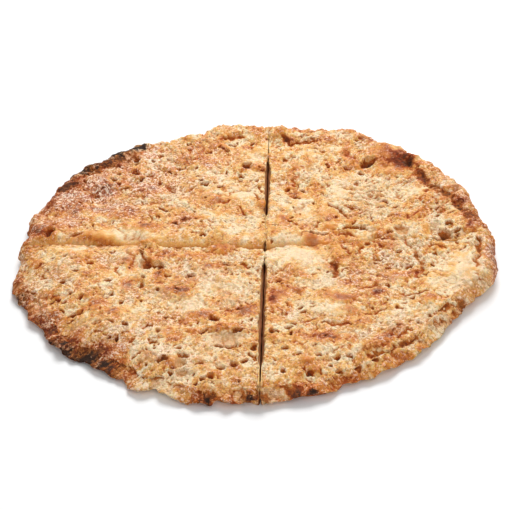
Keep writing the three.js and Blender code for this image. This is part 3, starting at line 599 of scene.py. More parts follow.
def outline(degrees):
    solid = np.interp(degrees % 360, np.linspace(0, 360, len(outlineRadii)), outlineRadii)
    return solid + alongRim(degrees, "reach")


def edgeGap(x, y):  # how far one point lies in from the outline
    return outline(math.degrees(math.atan2(y, x))) - math.hypot(x, y)


fromRim = np.maximum(outline(sheetAngle) - sheetRadius, 0)

surface = {
    "swell": [(19.0, 0.40), (10.0, 0.36)],              # grain size and height of the slow waves
    "puffs": [(5.8, 0.30, 0.55), (2.7, 0.20, 0.34)],    # size, depth of the creases, how much the tops differ
    "flakes": [(7.0, 0.34), (4.0, 0.32), (2.1, 0.20)],  # torn skin that stands up with a crisp edge
    "crumbs": [(1.6, 0.17), (1.0, 0.11)],               # grain size and height, and so for the rim's knobs
    "cracks": [(5.0, 0.7, 0.20), (2.8, 0.5, 0.16)],     # grain size and depth of short crevices, and how dark their painted shade is
    "rimKnobs": [(5.0, 0.46), (2.2, 0.46)],
    "knobReach": 9.0,    # how far in from the rim the knobs go
    "brownReach": 8.0,   # and how far the rim is browned
    "raiseReach": 7.0,   # and how far it stands up
    "slopeReach": 13.0,  # and how far it slopes down
    "toastLift": 0.5,    # how far toasted patches stand up
}


def puffs(size, seed):  # packed puffs: the gap to the crease beside each point, and a mark for each puff
    random = np.random.default_rng(sheet["seed"] + seed)
    half = sheet["count"] * sheet["cell"] / 2
    count = int(2 * half / size) + 5
    offsets = random.uniform(0.05, 0.95, (2, count, count))
    marks = random.uniform(0, 1, (count, count))
    x = (sheetX + raggedX + half) / size + 2
    y = (sheetY + raggedY + half) / size + 2
    nearest = np.full(sheetX.shape, 9.0)
    second = np.full(sheetX.shape, 9.0)
    mark = np.zeros(sheetX.shape)
    for aside in range(9):  # the puff's own square and the eight round it
        i = np.clip(np.floor(x).astype(int) + aside % 3 - 1, 0, count - 1)
        j = np.clip(np.floor(y).astype(int) + aside // 3 - 1, 0, count - 1)
        gap = np.hypot(i + offsets[0, j, i] - x, j + offsets[1, j, i] - y)
        closer = gap < nearest
        second = np.where(closer, nearest, np.minimum(second, gap))
        mark = np.where(closer, marks[j, i], mark)
        nearest = np.where(closer, gap, nearest)
    return second - nearest, mark


def readMarks(parts):  # one mask for each kind of mark, from all the quarters' entries
    masks = {}
    for key in ("toast", "dark", "char", "pale", "pink", "smooth", "pebbly"):
        mask = np.zeros(sheetX.shape)
        for part in parts:
            for x, y, long, wide, turn, amount in part.get(key, []):
                window, out = stamp(x, y, long, wide, turn)
                mask[window] = cover(mask[window], amount * np.exp(-out**2.6 * 0.7))
        masks[key] = mask
    return masks


def darken(masks, window, share):
    masks["dark"][window] = np.maximum(masks["dark"][window], share)


def isCrowded(taken, x, y, apart):
    return len(taken) and np.hypot(*(taken - (x, y)).T).min() < apart


pits = {
    "tries": 420,
    "reach": 122,            # how far out they are tried, each way
    "fromRim": 3,            # how far in from the rim they start
    "apart": (2.6, 2.0),     # between the smallest ones, and how much further for the largest
    "radius": (0.38, 0.62),  # of the smallest ones, and how much wider the largest are
    "halo": 0.34,            # how dark the ground round a pit is
}


def scatterPits(relief, masks):
    random = np.random.default_rng(sheet["seed"])
    taken = np.empty((0, 2))
    for _ in range(pits["tries"]):
        x, y = random.uniform(-pits["reach"], pits["reach"], 2)
        size = random.uniform(0, 1) ** 2.0
        keep = random.uniform()
        stretch = random.uniform(1, 2.0)
        turn = random.normal(0, 40)
        deep = random.uniform(0.8, 1.4)
        if edgeGap(x, y) < pits["fromRim"] or keep < sampleAt(masks["smooth"], x, y) * 1.3:
            continue
        if isCrowded(taken, x, y, pits["apart"][0] + pits["apart"][1] * size):
            continue
        taken = np.vstack([taken, (x, y)])
        radius = pits["radius"][0] + pits["radius"][1] * size
        window, out = stamp(x, y, radius * stretch, radius, turn)
        relief[window] -= deep * radius * (2.3 / (1 + out**7) - 0.35 * bell(out - 1.6, 0.4))
        # painted shade in the pit, which partly stands for its browner bottom
        darken(masks, window, (0.5 + 0.4 * size**0.5) * plug(out, 0.9))
        darken(masks, window, pits["halo"] * plug(out, 1.25))
    print(f"pits scattered: {len(taken)}")


blisters = {
    "tries": 240,
    "reach": 118,
    "fromRim": 6,
    "apart": (5.5, 2.5),     # as for the pits
    "length": (1.5, 3.4),
    "height": (0.35, 0.45),
    "slitShare": 0.5,        # how many of them have a slit
    # the slit's darkness is painted shade
    "slit": {"width": 0.55, "depth": 1.1, "darkness": 0.6},
}


def slitBlister(relief, masks, x, y, long, flat, turn):  # a slit under the front lip, with painted shade in it
    slit = blisters["slit"]
    lean = math.radians(turn)
    side = np.array([math.cos(lean), math.sin(lean)]) * long * 0.6
    middle = np.array([x, y]) + np.array([math.sin(lean), -math.cos(lean)]) * long * flat * 1.05
    window, share, _ = groove(middle - side, middle + side, slit["width"])
    relief[window] -= slit["depth"] * share
    darken(masks, window, slit["darkness"] * share)


def scatterBlisters(relief, masks):  # small smooth toasted blisters
    random = np.random.default_rng(sheet["seed"] + 1)
    taken = np.empty((0, 2))
    for _ in range(blisters["tries"]):
        x, y = random.uniform(-blisters["reach"], blisters["reach"], 2)
        size, keep, slit = random.uniform(0, 1, 3)
        flat = random.uniform(0.45, 0.8)
        turn = random.normal(0, 28)
        amount = random.uniform(0.3, 0.65)
        covered = sampleAt(masks["pale"], x, y) + sampleAt(masks["smooth"], x, y)
        if edgeGap(x, y) < blisters["fromRim"] or keep < covered * 1.6:
            continue
        if isCrowded(taken, x, y, blisters["apart"][0] + blisters["apart"][1] * size):
            continue
        taken = np.vstack([taken, (x, y)])
        long = blisters["length"][0] + blisters["length"][1] * size**1.6
        window, out = stamp(x, y, long, long * flat, turn)
        share = dome(out)
        relief[window] += (blisters["height"][0] + blisters["height"][1] * size) * share
        masks["toast"][window] = cover(masks["toast"][window], amount * share)
        masks["smooth"][window] = np.maximum(masks["smooth"][window], 0.6 * share)
        if slit < blisters["slitShare"]:
            slitBlister(relief, masks, x, y, long, flat, turn)
    print(f"blisters scattered: {len(taken)}")


def brownRim(masks, rimBand):  # toasted skin is smooth, and the rim is rough and baked darker
    masks["smooth"] = np.maximum(masks["smooth"], 0.6 * masks["toast"] * (1 - masks["pink"]))
    masks["smooth"] *= 1 - 0.75 * rimBand
    for key in ("toast", "dark", "char", "pink"):
        for at, wide, deep, amount in rim[key]:
            share = amount * bell(turnBetween(sheetAngle, at), wide) * bell(fromRim, deep)
            masks[key] = cover(masks[key], share)
    masks["dark"] *= 0.45 + 0.75 * ramp(grain(2.4, 59), -1.0, 0.8)
    masks["char"] *= 0.55 + 0.60 * ramp(grain(2.8, 49), -1.2, 0.4)


def roughen(relief, masks):  # the crust's own grain, fainter where the skin is smooth
    rough = (1 - 0.85 * masks["smooth"]) * (0.45 + 0.55 * ramp(grain(15, 58), -0.9, 0.7))
    tops = []
    for number, (size, high) in enumerate(surface["swell"]):
        relief += high * grain(size, 10 + number)
    for number, (size, deep, differ) in enumerate(surface["puffs"]):
        away, mark = puffs(size, 20 + number)
        top = ramp(away, 0, 0.4)
        pebbles = masks["pebbly"] * (0.85 * np.sqrt(np.clip(away, 0, 1)) - 0.45)
        relief += rough * (deep * (top - 0.75) + differ * (mark - 0.5) * top) + pebbles * size / 5
        tops.append((mark - 0.5) * top * rough)
    for number, (size, high) in enumerate(surface["flakes"]):
        relief += high * (ramp(grain(size, 25 + number), 0.15, 0.55) - 0.4) * rough
    for number, (size, high) in enumerate(surface["crumbs"]):
        relief += high * grain(size, 30 + number) * rough
    return tops


def crack(relief, masks):
    for number, (size, deep, shade) in enumerate(surface["cracks"]):
        line = bell(grain(size, 60 + number), 0.17) * ramp(grain(size * 0.8, 65 + number), 0.75, 1.5)
        line *= 1 - 0.9 * masks["smooth"]
        relief -= deep * line
        # painted shade in the crevice
        masks["dark"] = np.maximum(masks["dark"], shade * line)


def shapeRim(relief):
    relief += alongRim(sheetAngle, "raise") * bell(np.maximum(fromRim - 2, 0), surface["raiseReach"])
    relief -= alongRim(sheetAngle, "slope") * bell(fromRim, surface["slopeReach"])
    nearRim = bell(fromRim, surface["knobReach"])
    for number, (size, high) in enumerate(surface["rimKnobs"]):
        relief += high * (np.abs(grain(size, 40 + number)) - 0.8) * nearRim


def placeMarks(relief, masks, part):  # the lumps, creases and holes of one quarter
    for x, y, long, wide, turn, high in part["lumps"]:
        window, out = stamp(x, y, long, wide, turn)
        relief[window] += high * dome(out)
    for start, end, width, deep in part["creases"]:
        window, share, lip = groove(start, end, width * 1.15)
        relief[window] += deep * (0.4 * lip - 0.85 * share)
        # painted shade along the bottom of the crease
        darken(masks, window, min(0.6, 0.34 * deep) * share**2)
    for x, y, long, wide, turn, deep in part["holes"]:
        window, out = stamp(x, y, long * 0.9, wide * 0.9, turn, 0.7)
        relief[window] -= deep * (1.35 / (1 + out**8) - 0.2 * bell(out - 1.5, 0.35))
        # painted shade in the hole, which partly stands for its browner bottom; less where the crust is pale
        share = np.maximum(min(0.85, 0.5 * deep) * plug(out, 0.85), pits["halo"] * plug(out, 1.2))
        darken(masks, window, share * (1 - 0.8 * masks["pale"][window]))


def findHollows(relief):  # 1 in a dip of the relief, -1 on what stands out; it sets the painted shade in the dips
    wide = (blur(relief, 2.2) - relief) / 0.9
    fine = (blur(relief, 0.8) - relief) / 0.4
    return np.clip(0.65 * wide + 0.55 * fine, -1, 1)


mottles = {  # grain size, seed and strength of the unevenness of each colour
    "toast": [(12, 50, 0.08), (4.8, 51, 0.12), (2.4, 52, 0.10)],
    "pale": [(9, 54, 0.12), (2.8, 55, 0.09)],
    "pink": [(8, 56, 0.13), (3, 57, 0.09)],
}


def mottle(field, key):
    for size, seed, strength in mottles[key]:
        field = field + strength * grain(size, seed)
    return field


def bakeSheets(relief, masks, tops, rimBand):  # the colours take up the relief, and get their unevenness
    raised = np.clip((blur(relief, 0.7) - blur(relief, 3.5)) / 0.6, -1, 1)
    toast = 0.24 + 0.80 * masks["toast"] - 0.45 * masks["pale"] + 0.12 * raised
    toast += 0.27 * tops[0] + 0.24 * tops[1] - 0.10 * masks["pebbly"]
    masks["toast"] = np.clip(toast + mottle(0, "toast") * (1 - 0.6 * masks["smooth"]), 0, 1)
    masks["dark"] = masks["dark"] + 0.12 * rimBand * ramp(grain(3.2, 53), 0.2, 1.2)
    masks["pale"] = np.clip(mottle(masks["pale"], "pale"), 0, 1)
    masks["pink"] = np.clip(mottle(masks["pink"], "pink") + 0.03, 0, 1)


def makeSheets():
    parts = [backLeft, backRight, frontLeft, frontRight]
    masks = readMarks(parts)
    masks["toastMarks"] = masks["toast"].copy()
    relief = np.zeros(sheetX.shape)
    scatterBlisters(relief, masks)
    rimBand = bell(fromRim, surface["brownReach"])
    brownRim(masks, rimBand)
    tops = roughen(relief, masks)
    crack(relief, masks)
    shapeRim(relief)
    scatterPits(relief, masks)
    relief += surface["toastLift"] * ramp(masks["toast"], 0.2, 0.5)
    for part in parts:
        placeMarks(relief, masks, part)
    masks["cavity"] = findHollows(relief)
    bakeSheets(relief, masks, tops, rimBand)
    masks["relief"] = relief
    return masks


print("sheets: relief and colour masks")
sheets = makeSheets()

quarterWay = {
    "perSide": 250,            # quads along each cut side, and along each half of the rim
    "rollRings": 12,           # rings over the rolled edge
    "wallRings": 8,            # rings from there to the base
    "baseRings": [0.97, 0.88, 0.7, 0.45, 0.2],
    "rimRoll": 7.0,            # how far in from the edge the crust starts to fall
    "rimWaist": (0.30, 0.42),  # how high a thin and a full rim are widest, as a share of the crust's height
    "rimTuck": 5.0,            # how far the base is drawn in under the rim
    "cornerBlend": 0.045,      # share of a side over which one edge's form turns into the next one's
    "clearance": 0.05,         # what always stays open on each side of a cut
}

# How open each cut looks: distance from the crossing, half of the opening at the crust, and the depth at
# which it closes
openings = {
    "back": [
        (0, 0.04, 1), (25, 0.05, 1), (31, 0.45, 1.6), (44, 0.62, 1.8), (70, 0.66, 1.9), (80, 0.3, 1.4),
        (92, 0.12, 1), (116, 0.06, 1),
    ],
    "front": [
        (0, 0.04, 1), (8, 0.05, 1), (13, 0.4, 1.4), (22, 0.5, 1.8), (32, 0.75, 2), (62, 0.85, 2.1),
        (88, 0.75, 2), (98, 0.25, 1), (119, 0.1, 1),
    ],
    "side": [(0, 0.3, 1.4), (60, 0.3, 1.4), (122, 0.2, 1)],
}

# How the crust goes over the edge of a cut: how far in it starts and how far it falls
shoulders = {
    "crisp": {"wide": 0.9, "drop": 1.0},
    "soft": {"wide": 7.4, "drop": 5.6},
    "sink": 1.6,   # how far the crust in front of a soft shoulder lies below it
    "shift": 1.1,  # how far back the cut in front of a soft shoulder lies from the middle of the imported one
}

quarters = {
    "quarter_back_right": {
        "diagonal": 45, "edges": ("soft", "crisp"), "openings": ("side", "back"), "seed": 1,
    },
    "quarter_back_left": {
        "diagonal": 135, "edges": ("crisp", "soft"), "openings": ("back", "side"), "seed": 2,
    },
    "quarter_front_left": {
        "diagonal": 225, "edges": ("crisp", "crisp"), "openings": ("side", "front"), "seed": 3,
    },
    "quarter_front_right": {
        "diagonal": 315, "edges": ("crisp", "crisp"), "openings": ("front", "side"), "seed": 4,
    },
}


def readQuarter(node, diagonal):  # corner at the crossing, and the two ends of the quarter's rim
    points = readVectors(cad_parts[node].data.vertices, "co")[:, :2] / mm
    corner = points[(points @ heading(diagonal)).argmin()]
    away = points - corner
    far = np.hypot(*away.T) > 60  # nearer the crossing the directions say little
    turn = np.where(far, turnBetween(turnOf(away), diagonal), 0)
    ends = []
    for edge in (turn.min(), turn.max()):
        along = heading(diagonal + edge)
        near = np.abs(turnBetween(turn, edge)) < 1.5  # degrees from that cut
        ends.append(corner + along * (away[near] @ along).max())
    return corner, *ends


crustReading = {
    "width": 264,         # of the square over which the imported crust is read
    "step": 2.0,
    "fromRim": 5,         # how far in from the rim and from a shoulder it is still taken
    "fromShoulder": 0.5,
    "fine": 2.2,          # how far it is evened out where it is known
    "broad": 9,           # and where it is carried on
    "leastShare": 0.02,   # below this it counts as not known
    "above": 40,          # where the rays start
}


def insideCut(way, which, x, y):  # how far in a point lies from one of the quarter's two cuts
    corner = way["corners"][0]
    end = way["corners"][1 + which]
    along = (end - corner) / np.hypot(*(end - corner))
    return (1 - 2 * which) * (along[0] * (y - corner[1]) - along[1] * (x - corner[0]))


def isOnCrust(way, x, y):  # clear of the rim's edge and of the shoulders
    if edgeGap(x, y) < crustReading["fromRim"]:
        return False
    edges = enumerate(way["edges"])
    inside = [insideCut(way, which, x, y) - shoulders[edge]["wide"] for which, edge in edges]
    return min(inside) >= crustReading["fromShoulder"]


def evenCrust(height, known):  # smooth, and carried on past where it is known
    squares = squareWaves(len(height), crustReading["step"])
    least = crustReading["leastShare"]
    fine = soften(height * known, crustReading["fine"], squares)
    share = soften(known, crustReading["fine"], squares)
    broad = soften(height * known, crustReading["broad"], squares)
    broad = broad / np.maximum(soften(known, crustReading["broad"], squares), 1e-3)
    return np.where(share > least, fine / np.maximum(share, least), broad)


def readCrust(node, way):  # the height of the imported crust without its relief, as a function of the place
    tree = solidTree([node])
    step = crustReading["step"]
    count = int(crustReading["width"] / step)
    places = (np.arange(count) - (count - 1) / 2) * step
    height = np.zeros((count, count))
    known = np.zeros((count, count))
    for j, y in enumerate(places):
        for i, x in enumerate(places):
            if not isOnCrust(way, x, y):
                continue
            hit = tree.ray_cast(Vector((x, y, crustReading["above"])), Vector((0, 0, -1)))[0]
            if hit:
                height[j, i] = hit.z
                known[j, i] = 1
    smooth = evenCrust(height, known)

    def crust(x, y):
        level = readGrid(smooth, x, y, places[0], step)
        for which, choice in enumerate(zip(way["edges"], way["openings"])):
            if choice == ("crisp", "side"):
                uneven = 1 + 0.25 * sample(rimLift, x, y) - ramp(np.hypot(x, y), 92, 118)
                nearCut = bell(np.maximum(insideCut(way, which, x, y), 0), 7)
                level = level - shoulders["sink"] * uneven * nearCut
        return level

    return crust


def startQuarter(name, way):  # a grid, closed below by rings of extruded edges
    count = way["perSide"]
    bpy.ops.object.select_all(action="DESELECT")
    bpy.ops.mesh.primitive_grid_add(x_subdivisions=count, y_subdivisions=count, size=2)
    piece = bpy.context.object
    piece.name = name
    piece.data.name = name
    bpy.ops.object.mode_set(mode="EDIT")
    bpy.ops.mesh.select_mode(type="EDGE")
    bpy.ops.mesh.select_all(action="DESELECT")
    bpy.ops.mesh.select_non_manifold(use_wire=False, use_multi_face=False, use_non_contiguous=False)
    for _ in range(way["rollRings"] + way["wallRings"]):
        bpy.ops.mesh.extrude_edges_move(TRANSFORM_OT_translate={"value": (0, 0, -1)})
    shrunk = 1
    for share in way["baseRings"]:
        bpy.ops.mesh.extrude_edges_move(TRANSFORM_OT_translate={"value": (0, 0, -1)})
        bpy.ops.transform.resize(value=(share / shrunk, share / shrunk, 1), center_override=(0, 0, 0))
        shrunk = share
    bpy.ops.mesh.edge_face_add()
    bpy.ops.mesh.poke()
    bpy.ops.mesh.select_all(action="SELECT")
    bpy.ops.mesh.normals_make_consistent(inside=False)
    bpy.ops.object.mode_set(mode="OBJECT")
    return piece


def perimeter(a, b):  # place round the square, from 0 at the crossing to 4, and the share of the way out
    out = np.maximum(np.maximum(np.abs(a), np.abs(b)), 1e-9)
    edge = 1 - 1e-6
    x = a / out
    y = b / out
    place = np.select(
        [y <= -edge, x >= edge, y >= edge],
        [(x + 1) / 2, 1 + (y + 1) / 2, 2 + (1 - x) / 2],
        3 + (1 - y) / 2,
    )
    return place % 4, np.minimum(out, 1)


cutReading = {
    "from": 4,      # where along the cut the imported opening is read, from the crossing
    "endGap": 5,    # and how far from its end
    "count": 50,
    "height": 3.0,
    "inside": 3.0,  # how far inside the quarter each ray starts
    "reach": 12,
}


def readOpening(node, start, away, outward, length):  # from a cut side to the middle of the cut
    own = solidTree([node])
    others = solidTree([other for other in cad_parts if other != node])
    inside = cutReading["inside"]
    stations = []
    halves = []
    for station in np.linspace(cutReading["from"], length - cutReading["endGap"], cutReading["count"]):
        point = Vector((*(start + away * station - outward * inside), cutReading["height"]))
        ray = Vector((*outward, 0))
        reached = [tree.ray_cast(point, ray, cutReading["reach"])[3] for tree in (own, others)]
        if None not in reached:
            stations.append(station)
            halves.append(sum(reached) / 2 - inside)
    return stations, halves


raggedCut = {
    "count": 90,    # points along the cut
    "fine": 0.34,   # spread of the small unevenness
    "every": 5,     # points between the values of the wide one
    "broad": 0.3,   # and its strength
}


def makeRagged(seed, which):  # the unevenness along one cut side
    count = raggedCut["count"]
    every = raggedCut["every"]
    fine = np.abs(np.random.default_rng(seed * 7 + which).normal(0, raggedCut["fine"], count))
    fine = np.convolve(fine, (0.25, 0.5, 0.25), "same")
    broad = np.random.default_rng(seed + 40).uniform(0, 2, count // every)
    return fine + raggedCut["broad"] * np.interp(np.arange(count), np.arange(0, count, every), broad)


def makeSide(node, way, which):  # one cut side of a quarter
    corner = way["corners"][0]
    end = way["corners"][1 + which]
    edge = way["edges"][which]
    cut = way["openings"][which]
    length = math.dist(corner, end)
    away = (end - corner) / length
    inward = np.array([-away[1], away[0]]) * (1 - 2 * which)
    stations, halves = readOpening(node, corner, away, -inward, length)
    places, wanted, depths = np.array(openings[cut], float).T
    ragged = makeRagged(way["seed"], which)
    shift = shoulders["shift"] if cut == "side" else 0.0
    if edge == "crisp":
        shift = -shift

    def opening(along):  # half of the opening as it looks and as it is packed, and how deep it goes
        half = np.interp(along, places, wanted)
        half = half + np.interp(along, np.linspace(0, length, len(ragged)), ragged) * ramp(half, 0.1, 0.5)
        solid = np.interp(along, stations, halves)
        return solid + (half - solid) * ramp(along, 0, 5), solid, np.interp(along, places, depths)

    return {
        "away": away,
        "inward": inward,
        "length": length,
        "opening": opening,
        "wide": shoulders[edge]["wide"],
        "shift": shift,
    }


def startEdges(node, way):  # the two cut sides of a quarter, and the turn of its rim between them
    corner, first, last = way["corners"]
    start = math.degrees(math.atan2(first[1], first[0]))
    sweep = (math.degrees(math.atan2(last[1], last[0])) - start) % 360
    sides = [makeSide(node, way, 0), makeSide(node, way, 1)]
    return {"corner": corner, "sides": sides, "start": start, "sweep": sweep, "roll": way["rimRoll"]}


def traceSide(edges, which, share, isInner):  # points along a cut, from the crossing out
    side = edges["sides"][which]
    first = edges["sides"][1 - which]["wide"] if isInner else 0.0
    last = edges["roll"] if isInner else 0.0
    along = first + share * (side["length"] - first - last)
    half, solid, _ = side["opening"](along)
    inset = half - solid + (side["wide"] if isInner else 0.0)
    inset = inset + side["shift"] * ramp(along, 2, 14) * ramp(side["length"] - along, 0, 10)
    return edges["corner"] + side["away"] * along[:, None] + side["inward"] * inset[:, None]


def traceRim(edges, share, isInner):  # points along the rim, from the first cut to the last
    turns = [math.degrees(side["wide"] / side["length"]) if isInner else 0.0 for side in edges["sides"]]
    turn = edges["start"] + turns[0] + share * (edges["sweep"] - turns[0] - turns[1])
    radius = outline(turn)
    points = heading(turn) * radius[:, None]
    ragged = sample(rimRagged, points[:, 0], points[:, 1])
    return heading(turn) * (radius + (-edges["roll"] if isInner else ragged))[:, None]


def traceEdges(edges, place, isInner):  # where each place round the square lies on the quarter's own edges
    points = np.empty((len(place), 2))
    onFirst = place < 1
    onLast = place > 3
    rest = ~onFirst & ~onLast
    points[onFirst] = traceSide(edges, 0, place[onFirst], isInner)
    points[onLast] = traceSide(edges, 1, 4 - place[onLast], isInner)
    share = (place[rest] - 1) / 2
    one = np.array([1.0])
    starts = traceSide(edges, 0, one, isInner) - traceRim(edges, one * 0, isInner)
    ends = traceSide(edges, 1, one, isInner) - traceRim(edges, one, isInner)
    fix = (1 - ramp(share, 0, 0.08))[:, None] * starts + ramp(share, 0.92, 1)[:, None] * ends
    points[rest] = traceRim(edges, share, isInner) + fix
    return points


def readCuts(edges, place):  # at each place: the way out of the cut, half of its opening, and its depth
    outward = np.zeros((len(place), 2))
    opening = np.zeros(len(place))
    closes = np.ones(len(place))
    for side, chosen, along in zip(edges["sides"], (place <= 1, place >= 3), (place, 4 - place)):
        outward[chosen] = -side["inward"]
        opening[chosen], _, closes[chosen] = side["opening"](along[chosen] * side["length"])
    return outward, opening, closes


hashing = {  # what turns a cell's place into a random value
    "shift": 57.3,
    "primes": (73856093, 19349663, 83492791),
    "seedPrime": 2654435761,
    "mixer": 1274126177,
}


def hashNoise(points, size, seed):  # smooth value noise in space, 0 to 1
    scaled = points / size + hashing["shift"]
    base = np.floor(scaled).astype(np.int64)
    part = scaled - base
    part = part * part * (3 - 2 * part)
    total = np.zeros(len(points))
    for corner in range(8):
        offset = np.array([corner & 1, corner >> 1 & 1, corner >> 2 & 1])
        cell = (base + offset) * hashing["primes"]
        key = cell[:, 0] ^ cell[:, 1] ^ cell[:, 2] ^ seed * hashing["seedPrime"]
        key = (key ^ (key >> 13)) * hashing["mixer"] & 0xFFFFFFFF
        value = ((key ^ (key >> 16)) & 0xFFFF) / 0xFFFF
        total += value * np.prod(np.where(offset == 1, part, 1 - part), axis=1)
    return total


def evenRim(points, most=1.2):  # from the ragged edge back to the plain outline
    around = turnOf(points)
    away = outline(around) - np.hypot(*points.T)
    return heading(around) * np.clip(away, -most, most)[:, None]


def readEdges(way, place):  # how much of each place is rim, and how much is soft shoulder
    blend = way["cornerBlend"]
    rimShare = ramp(place, 1 - blend, 1 + blend) * (1 - ramp(place, 3 - blend, 3 + blend))
    softness = np.zeros(len(place))
    for edge, away in zip(way["edges"], (place, 4 - place)):
        if edge == "soft":
            softness = np.maximum(softness, 1 - ramp(away, 0.9, 1.05))
    return rimShare, softness


def readForm(mesh, node, way):  # what each vertex of the grid and its rings becomes on the quarter
    raw = readVectors(mesh.vertices, "co")
    form = SimpleNamespace(ring=np.round(-raw[:, 2]).astype(int))
    form.place, form.out = perimeter(raw[:, 0], raw[:, 1])
    edges = startEdges(node, way)
    form.inner = traceEdges(edges, form.place, True)
    form.outer = traceEdges(edges, form.place, False)
    form.hub = traceEdges(edges, np.array([0.0, 2.0]), True).mean(0)
    form.outward, form.opening, form.closes = readCuts(edges, form.place)
    form.rimShare, form.softness = readEdges(way, form.place)
    rollEnd = way["rollRings"]
    wallEnd = rollEnd + way["wallRings"]
    form.inside = form.ring == 0
    form.onRoll = (form.ring > 0) & (form.ring <= rollEnd)
    form.onWall = (form.ring > rollEnd) & (form.ring <= wallEnd)
    form.onBase = form.ring > wallEnd
    form.over = np.clip(form.ring / rollEnd, 0, 1)
    form.topShare = np.where(form.inside, 1.0, np.where(form.onRoll, 1 - form.over**2.5, 0.0))
    return form


def readDrop(form, way):  # how far the crust falls, to the rim's widest line or to the edge of a cut
    crisp = shoulders["crisp"]["drop"] * (0.35 + 0.65 * ramp(form.opening, 0.1, 0.5))
    cutDrop = crisp + (shoulders["soft"]["drop"] - crisp) * form.softness
    waistShift = 0.7 * sample(rimLift, form.outer[:, 0], form.outer[:, 1])
    full = np.clip(alongRim(turnOf(form.outer), "full"), 0, 1)
    thinWaist, fullWaist = way["rimWaist"]
    waistShare = thinWaist + (fullWaist - thinWaist) * full
    rimDrop = form.edgeHeight * (1 - waistShare) + waistShift
    return form.rimShare * rimDrop + (1 - form.rimShare) * cutDrop, full


def rollOver(form):  # from the crust over the edge, in a round or in a thin lip
    quarterTurn = np.radians(90) * form.over
    thin = form.rimShare * (1 - form.full)
    gone = thin * form.over**0.85 + (1 - thin) * np.sin(quarterTurn)
    fallen = thin * form.over**1.7 + (1 - thin) * (1 - np.cos(quarterTurn))
    return form.inner + (form.outer - form.inner) * gone[:, None], form.edgeHeight - form.drop * fallen


def goDown(form, way):  # down the wall, and in to the places on the base
    down = np.clip((form.ring - way["rollRings"]) / way["wallRings"], 0, 1)
    down = down**1.5  # the rings lie closer near the crust
    toHub = form.hub - form.outer
    toHub /= np.hypot(*toHub.T)[:, None]
    evened = evenRim(form.outer)  # the ragged edge dies out on the way down
    tuck = toHub * (way["rimTuck"] * form.rimShare * down**0.8)[:, None]
    tuck = tuck + evened * (form.rimShare * ramp(down, 0, 0.5))[:, None]
    waist = form.edgeHeight - form.drop
    closing = np.maximum(form.opening - way["clearance"], 0) * (1 - form.rimShare)
    foot = closing * ramp(waist * down / form.closes, 0.1, 1)
    onWall = form.outer + tuck + form.outward * foot[:, None]
    atFoot = form.outer + (toHub * way["rimTuck"] + evened) * form.rimShare[:, None]
    atFoot = atFoot + form.outward * closing[:, None]
    onBase = form.hub + (atFoot - form.hub) * form.out[:, None]
    return onWall, waist * (1 - down), onBase


def layOut(form, way, crust):  # the quarter without its relief
    form.plan = np.empty((len(form.ring), 2))
    form.high = np.empty(len(form.ring))
    inside = form.inside
    form.plan[inside] = form.hub + (form.inner[inside] - form.hub) * form.out[inside, None]
    form.high[inside] = crust(form.plan[inside, 0], form.plan[inside, 1])
    rollPlan, rollHigh = rollOver(form)
    form.plan[form.onRoll] = rollPlan[form.onRoll]
    form.high[form.onRoll] = rollHigh[form.onRoll]
    wallPlan, wallHigh, basePlan = goDown(form, way)
    form.plan[form.onWall] = wallPlan[form.onWall]
    form.high[form.onWall] = wallHigh[form.onWall]
    form.plan[form.onBase] = basePlan[form.onBase]
    form.high[form.onBase] = 0
    return np.column_stack([form.plan, form.high])


wallGrain = {  # how the noise is squeezed, each way
    "squat": (1.0, 1.0, 2.4),      # lumps that are wider than high
    "layered": (0.16, 0.16, 1.0),  # long thin layers
}


def crumbleRim(points, seed):  # the relief of the rim's outer wall
    squat = points * wallGrain["squat"]
    layered = points * wallGrain["layered"]
    wall = 1.1 * (hashNoise(squat, 3.4, seed) - 0.5) + 0.8 * (hashNoise(squat, 1.5, seed + 1) - 0.5)
    wall += 0.7 * (hashNoise(layered, 0.9, seed + 2) - 0.5)
    wall += 1.2 * (hashNoise(squat, 8.0, seed + 3) - 0.5)
    return wall - 0.8 * ramp(hashNoise(points, 2.2, seed + 4), 0.78, 0.9)


def tearCut(form, points, seed):  # the relief of the walls in the cuts, where they stand open
    layered = points * wallGrain["layered"]
    wall = -0.25 * hashNoise(points, 1.6, seed + 5) - 0.2 * hashNoise(layered, 0.8, seed + 6)
    return wall * (0.1 + 0.9 * ramp(form.opening, 0.06, 0.35))


def liftSurface(form, points, seed):  # the relief on top, which fades into that of the walls
    relief = sample(sheets["relief"], form.plan[:, 0], form.plan[:, 1])
    side = form.rimShare * form.wall + (1 - form.rimShare) * tearCut(form, points, seed)
    lift = form.topShare * relief + (1 - form.topShare) * side
    nearBase = ramp(form.high, 0.0, 2.0)
    return np.where(form.onBase, 0, lift * np.where(form.onWall, nearBase, 1))


def setPoints(mesh, points):
    mesh.vertices.foreach_set("co", (points * mm).astype(np.float32).ravel())
    mesh.update()


def shapeQuarter(mesh, node, way):
    form = readForm(mesh, node, way)
    crust = readCrust(node, way)
    form.edgeHeight = crust(form.inner[:, 0], form.inner[:, 1])
    form.drop, form.full = readDrop(form, way)
    points = layOut(form, way, crust)
    setPoints(mesh, points)
    seed = 10 * way["seed"]
    form.wall = crumbleRim(points, seed)
    lift = liftSurface(form, points, seed)
    points = points + readVectors(mesh.vertex_normals, "vector") * lift[:, None]
    points[form.onBase, 2] = 0.0
    points[:, 2] = np.maximum(points[:, 2], 0.0)
    setPoints(mesh, points)
    return form, points


def paint(mesh, name, values):
    layer = mesh.attributes.new(name, "FLOAT", "POINT")
    layer.data.foreach_set("value", np.clip(values, 0, 1).astype(np.float32))


